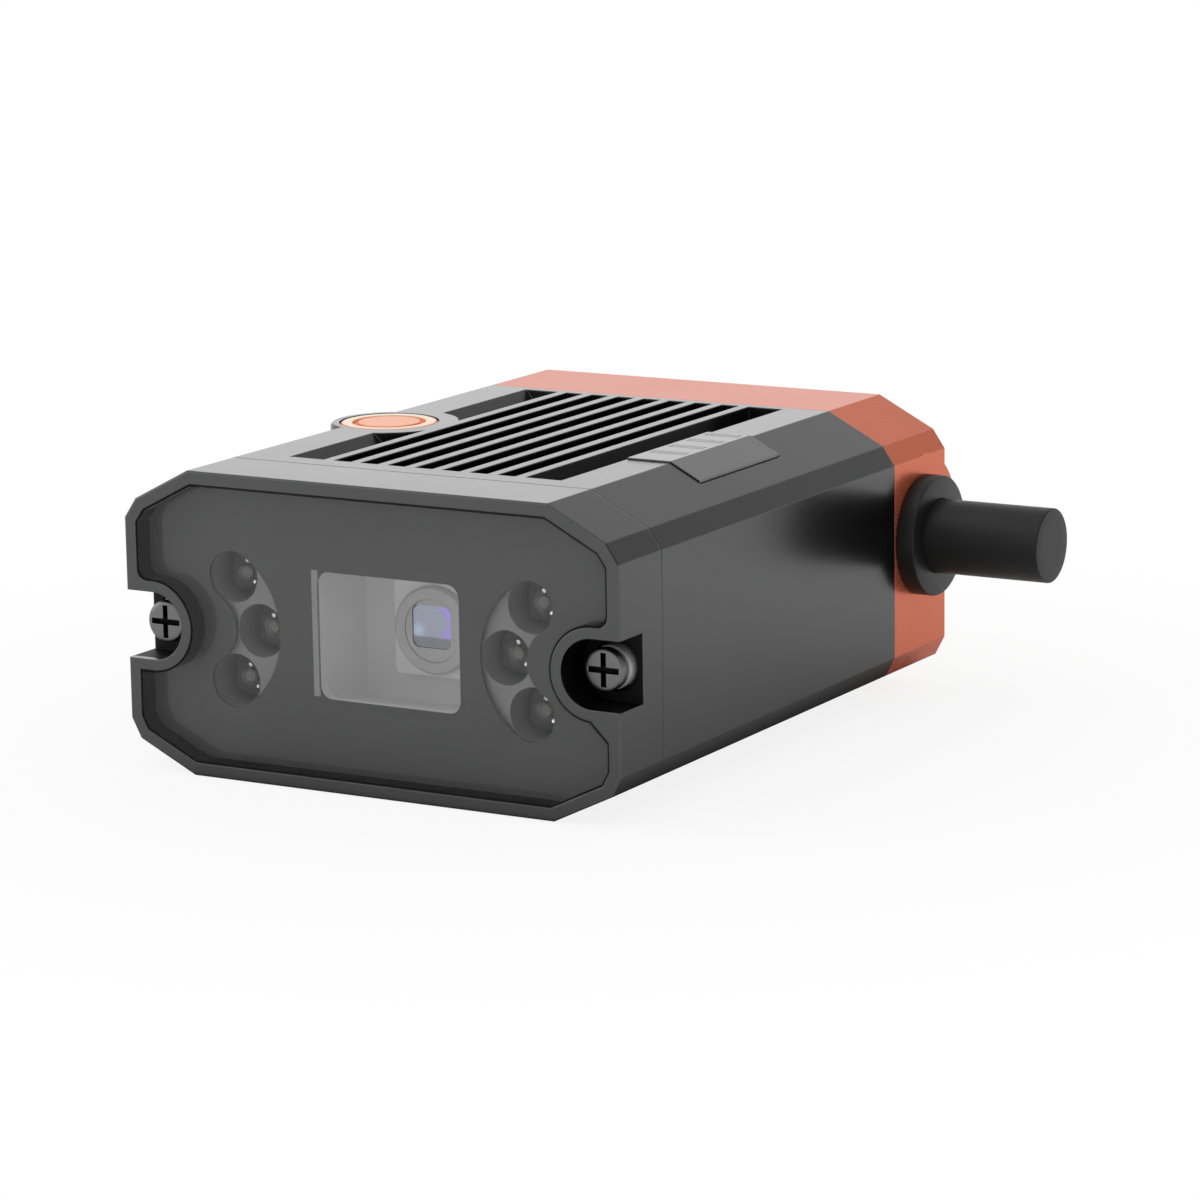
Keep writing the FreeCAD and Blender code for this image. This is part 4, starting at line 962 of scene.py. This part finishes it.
class VISION_OT_lamps(bpy.types.Operator):
    """Model one lamp, its die and its dome, and copy them to the six wells"""
    bl_idname = "vision.lamps"
    bl_label = "Lamps"

    def execute(self, context):
        sizes = context.scene.lamp_settings
        height = context.scene.screw_settings.pocket_z
        front, rear = low("left_lamps").y, high("left_lamps").y
        middle = Vector((sizes.arc_radius - sizes.arc_x, (front + rear) / 2, height))

        corner, rim, step = 0.0006, 0.00014, 0.00006
        body = block("lamp_body_1", middle, (sizes.package, rear - front, sizes.package))
        pick(body, along_depth, "EDGE")
        bpy.ops.mesh.bevel(offset=corner, segments=1)
        pick(body, lambda place, normal: normal.y < -0.9)
        bpy.ops.mesh.inset(thickness=rim, depth=0)
        bpy.ops.mesh.inset(thickness=step, depth=-step)
        close(body, 30)
        soften(body, step)

        base = front + 0.0001
        die = turned("lamp_die_1", (middle.x, base, middle.z), -REAR, [
            (0.0004, 0.0), (0.0004, 0.0002), (0.00035, 0.00025), (0.0002, 0.00025)], 32)
        beads = [turned(f"lamp_bead_{side}_1", (middle.x + x, base, middle.z + z), -REAR, [
            (0.00026, 0.0), (0.00026, 0.00012), (0.0002, 0.00022), (0.0001, 0.00026)], 20)
            for side, x, z in (("a", -0.0001, 0.00072), ("b", 0.00045, -0.00072))]

        steps, foot = 12, 0.00012
        profile = [(sizes.dome * 1.04, 0.0), (sizes.dome * 1.04, foot)]
        for index in range(steps):
            angle = math.pi / 2 * index / steps
            rise = (sizes.dome - foot) * math.sin(angle)
            profile.append((sizes.dome * math.cos(angle), foot + rise))
        dome = turned("lamp_dome_1", (middle.x, front + foot, middle.z), -REAR, profile, 48)

        parts = (
            (body, "lamp_package", None, "lamps"), (dome, "lamp_lens", None, "lamp_lenses"),
            (die, "chip", "lamp_die", None), (beads[0], "spring_steel", "bond_metal", None),
            (beads[1], "spring_steel", "bond_metal", None))
        index = 0
        for side, word in ((-1, "left"), (1, "right")):
            for turn in (0, 1, -1):
                index += 1
                angle = turn * sizes.arc_angle
                x = side * (sizes.arc_x - sizes.arc_radius * math.cos(angle))
                z = height + sizes.arc_radius * math.sin(angle)
                move = Vector((x - middle.x, 0, z - middle.z))
                for piece, slot, finish, solids in parts:
                    if index > 1:
                        piece = copy_of(piece, piece.name[:-1] + str(index), move)
                    stands_for = [f"{word}_{solids}"] if solids and turn == 0 else []
                    settle(piece, slot, *stands_for, finish=finish)
        return {"FINISHED"}


class VISION_OT_lens(bpy.types.Operator):
    """Model the front lens and the masking ring with its rectangular opening"""
    bl_idname = "vision.lens"
    bl_label = "Front lens and ring"

    def execute(self, context):
        sizes = context.scene.lens_settings
        corner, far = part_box("front_lens")
        near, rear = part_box("lens_retaining_ring")
        x, z = (near.x + rear.x) / 2, (near.z + rear.z) / 2
        radius = (rear.x - near.x) / 2
        face = -near.y
        back = face - sizes.ring_thickness

        edge = 0.00004
        ring = turned("lens_ring", (x, 0, z), -REAR, [
            (radius, back), (radius, face - edge), (radius - edge, face),
            (radius * 0.5, face)], 96)
        place = Vector((x + sizes.opening_side, near.y, z + sizes.opening_rise))
        tool = block("Opening tool", place, (sizes.opening_width, 0.002, sizes.opening_height))
        pick(tool, along_depth, "EDGE")
        bpy.ops.mesh.bevel(offset=sizes.opening_corner, segments=8)
        carve(ring, tool)
        close(ring, 30)
        settle(ring, "lens_metal", "lens_retaining_ring")

        glass = (far.x - corner.x) / 2
        gap, edge = 0.00002, 0.0001
        wide = radius - gap * 3
        step, front = gap - rear.y, back - gap
        lens = turned("front_lens_glass", (x, 0, z), -REAR, [
            (glass - edge, -far.y), (glass, edge - far.y), (glass, step), (wide, step),
            (wide, front - edge), (wide - edge, front), (radius * 0.5, front)])
        settle(lens, "lens_glass", "front_lens")
        return {"FINISHED"}


class VISION_OT_trigger_button(bpy.types.Operator):
    """Model the trigger button with its ring groove"""
    bl_idname = "vision.trigger_button"
    bl_label = "Trigger button"

    def execute(self, context):
        sizes = context.scene.control_settings
        corner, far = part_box("trigger_button")
        radius = (far.x - corner.x) / 2
        centre = middle_of("trigger_button")
        centre.z = 0
        clip_low, clip_high = low("button_clip").z, high("button_clip").z
        half = sizes.ring_width / 2
        inner, outer = sizes.ring_radius - half, sizes.ring_radius + half
        top, base = far.z, far.z - 0.0019
        bottom = top - sizes.ring_depth
        stem, neck, edge = 0.0029, 0.0024, 0.00005
        button = turned("trigger_button_cap", centre, UP, [
            (stem - 0.0002, corner.z), (stem, corner.z + 0.0002), (stem, clip_low),
            (neck, clip_low), (neck, clip_high), (stem, clip_high), (stem, base),
            (radius - 0.0001, base), (radius, base + 0.0001), (radius, top - 0.0003),
            (radius - 0.00004, top - 0.00016), (radius - 0.00014, top - edge),
            (radius - 0.0003, top), (outer + edge, top), (outer, top - edge),
            (outer - 0.00002, bottom), (inner + 0.00002, bottom), (inner, top - edge),
            (inner - edge, top), (0.0012, top - HAIR)], 96)
        settle(button, "button_plastic", "trigger_button", body="button")
        return {"FINISHED"}


class VISION_OT_cable(bpy.types.Operator):
    """Model the gland flange and the cable stub"""
    bl_idname = "vision.cable"
    bl_label = "Gland and cable"

    def execute(self, context):
        sizes = context.scene.cable_settings
        corner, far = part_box("cable_stub")
        centre = (0, (corner.y + far.y) / 2, (corner.z + far.z) / 2)
        radius, edge = sizes.radius, sizes.end_edge
        profile = [(radius, corner.x), (radius, far.x - edge)]
        for step in range(1, 5):
            angle = math.pi / 8 * step
            across, along = edge * (1 - math.cos(angle)), edge * (1 - math.sin(angle))
            profile.append((radius - across, far.x - along))
        profile.append((radius * 0.6, far.x))
        cable = turned("cable_jacket_stub", centre, RIGHT, profile)
        settle(cable, "cable_jacket", "cable_stub")

        inner, outer = low("gland_body").x, high("gland_body").x
        wide, shank, bore = sizes.flange_radius, sizes.shank_radius, radius + HAIR
        seat_low, seat_high = low("gland_seal").x, high("gland_seal").x
        seat = (high("gland_seal").z - low("gland_seal").z) / 2
        gland = turned("gland_flange", centre, RIGHT, [
            (shank, inner), (shank, SIDE_X), (wide - 0.0001, SIDE_X), (wide, SIDE_X + 0.0001),
            (wide, outer - 0.00014), (wide - 0.00004, outer - 0.00004), (wide - 0.00014, outer),
            (bore + 0.00006, outer), (bore, outer - 0.00005), (bore, seat_high),
            (seat, seat_high), (seat, seat_low), (bore, seat_low), (bore, inner),
            (shank, inner)], 72)
        settle(gland, "gland_plastic", "gland_body")
        return {"FINISHED"}


# Stage: name, place and size of each lamp, and the setting that holds its power

LAMPS = (
    ("Key lamp", (-0.12, -0.16, 0.42), 0.34, "key_power"),
    ("Fill lamp", (-0.42, -0.25, 0.16), 0.3, "fill_power"),
    ("Rear lamp", (-0.36, 0.62, 0.155), 0.42, "rear_power"),
)

# The photo's viewpoint, worked out from the corners of the body
VIEW_PLACE = Vector((0.210857, -0.356277, 0.097729))
VIEW_AXES = Matrix((
    (0.86742421, 0.49735021, -0.0147652),
    (-0.0888987, 0.18410812, 0.97887753),
    (0.48956334, -0.84778946, 0.20391362)))
VIEW_LENS = 138.6


def lay_floor(settings):
    """Pale floor: white to the camera far away, with the object's shadow near it and a painted
    shadow under the body that only gloss and glass see.
    """
    floor = start(
        "floor", bpy.ops.mesh.primitive_plane_add, size=settings.floor_size,
        location=(0, 0, -0.00005))
    m = material("Floor")
    seen, mirrored = m.rays()
    far = m.ramp(m.from_upright((0.0, 0.0, 0.0)), 0.03, 0.105)
    share = m.maths("MAXIMUM", seen * (0.86 + far * 0.14), mirrored * far)
    matt = m.node("ShaderNodeBsdfDiffuse", {"Color": settings.floor})
    white = m.node("ShaderNodeEmission")
    lit = m.node("ShaderNodeMixShader", {0: share, 1: matt, 2: white})
    x, y = m.axes("XY")
    beside = m.maths("MAXIMUM", abs(x) - SIDE_X, abs(y) - REAR_Y)
    # Painted shadow: under the body, gloss and glass see a dark patch of floor
    painted_shade_under = mirrored * (1.0 - m.ramp(beside, -0.001, 0.002)) * 0.85
    shade = m.node("ShaderNodeEmission", {"Color": neutral(0.02)})
    surface = m.finish(m.node("ShaderNodeMixShader", {0: painted_shade_under, 1: lit, 2: shade}))
    floor.data.materials.append(surface)


def studio_world(settings):
    """White to the camera; gloss sees it dimmer high up and at the right."""
    w = Nodes(bpy.data.worlds.new("Studio"))
    rays, mirrored = w.rays()
    seen = w.maths("MAXIMUM", rays, mirrored)
    side, rise = w.axes("XZ")
    shown = 1.0 - w.ramp(rise, 0.32, 0.5) * (1.0 - settings.upper_sky)
    shown = shown * (1.0 - w.ramp(side, 0.05, 0.4) * w.ramp(rise, 0.03, 0.16) * 0.5)
    shown = w.maths("MAXIMUM", shown, rays)
    strength = settings.sky + seen * (shown - settings.sky)
    return w.finish(w.node("ShaderNodeBackground", {"Color": neutral(1.0), "Strength": strength}))


class VISION_OT_stage(bpy.types.Operator):
    """Set the floor, the lamps, the world and the camera"""
    bl_idname = "vision.stage"
    bl_label = "Stage and camera"

    def execute(self, context):
        scene = context.scene
        settings = scene.stage_settings
        lay_floor(settings)
        scene.world = studio_world(settings)

        for name, place, size, power in LAMPS:
            aim = Vector(place).to_track_quat("Z", "Y").to_euler()
            bpy.ops.object.light_add(type="AREA", location=place, rotation=aim)
            lamp = bpy.context.active_object
            lamp.name = lamp.data.name = name
            lamp.data.size = size
            lamp.data.energy = getattr(settings, power)
            lamp.visible_camera = False

        bpy.ops.object.camera_add()
        camera = bpy.context.active_object
        camera.name = camera.data.name = "Photo view"
        camera.data.lens = VIEW_LENS
        camera.data.clip_start = 0.01
        turn = VIEW_AXES.transposed().to_4x4()
        camera.matrix_world = Matrix.Translation(VIEW_PLACE) @ turn
        scene.camera = camera
        scene.view_settings.view_transform = "Standard"
        deselect()
        return {"FINISHED"}


class VISION_PT_pieces(bpy.types.Panel):
    bl_label = "Machine vision camera"
    bl_idname = "VISION_PT_pieces"
    bl_space_type = "VIEW_3D"
    bl_region_type = "UI"
    bl_category = "Vision camera"

    def draw(self, context):
        layout = self.layout
        for operator in OPERATORS:
            layout.operator(operator.bl_idname)
        for name, group in SETTINGS.items():
            box = layout.box()
            for key in group.__annotations__:
                box.prop(getattr(context.scene, name), key)


SETTINGS = {
    "finish_settings": FinishSettings,
    "screw_settings": ScrewSettings,
    "lamp_settings": LampSettings,
    "lens_settings": LensSettings,
    "control_settings": ControlSettings,
    "cable_settings": CableSettings,
    "stage_settings": StageSettings,
}
OPERATORS = (
    VISION_OT_dress_nodes, VISION_OT_window, VISION_OT_bezel_screws, VISION_OT_cover_screws,
    VISION_OT_lamps, VISION_OT_lens, VISION_OT_trigger_button, VISION_OT_cable, VISION_OT_stage)
CLASSES = (*SETTINGS.values(), *OPERATORS, VISION_PT_pieces)


def register():
    for each in CLASSES:
        bpy.utils.register_class(each)
    for name, group in SETTINGS.items():
        setattr(bpy.types.Scene, name, bpy.props.PointerProperty(type=group))


def unregister():
    for name in SETTINGS:
        delattr(bpy.types.Scene, name)
    for each in reversed(CLASSES):
        bpy.utils.unregister_class(each)


def main():
    register()
    bpy.ops.vision.dress_nodes()
    bpy.ops.vision.window()
    bpy.ops.vision.bezel_screws()
    bpy.ops.vision.cover_screws()
    bpy.ops.vision.lamps()
    bpy.ops.vision.lens()
    bpy.ops.vision.trigger_button()
    bpy.ops.vision.cable()
    bpy.ops.vision.stage()


if __name__ == "__main__":
    main()
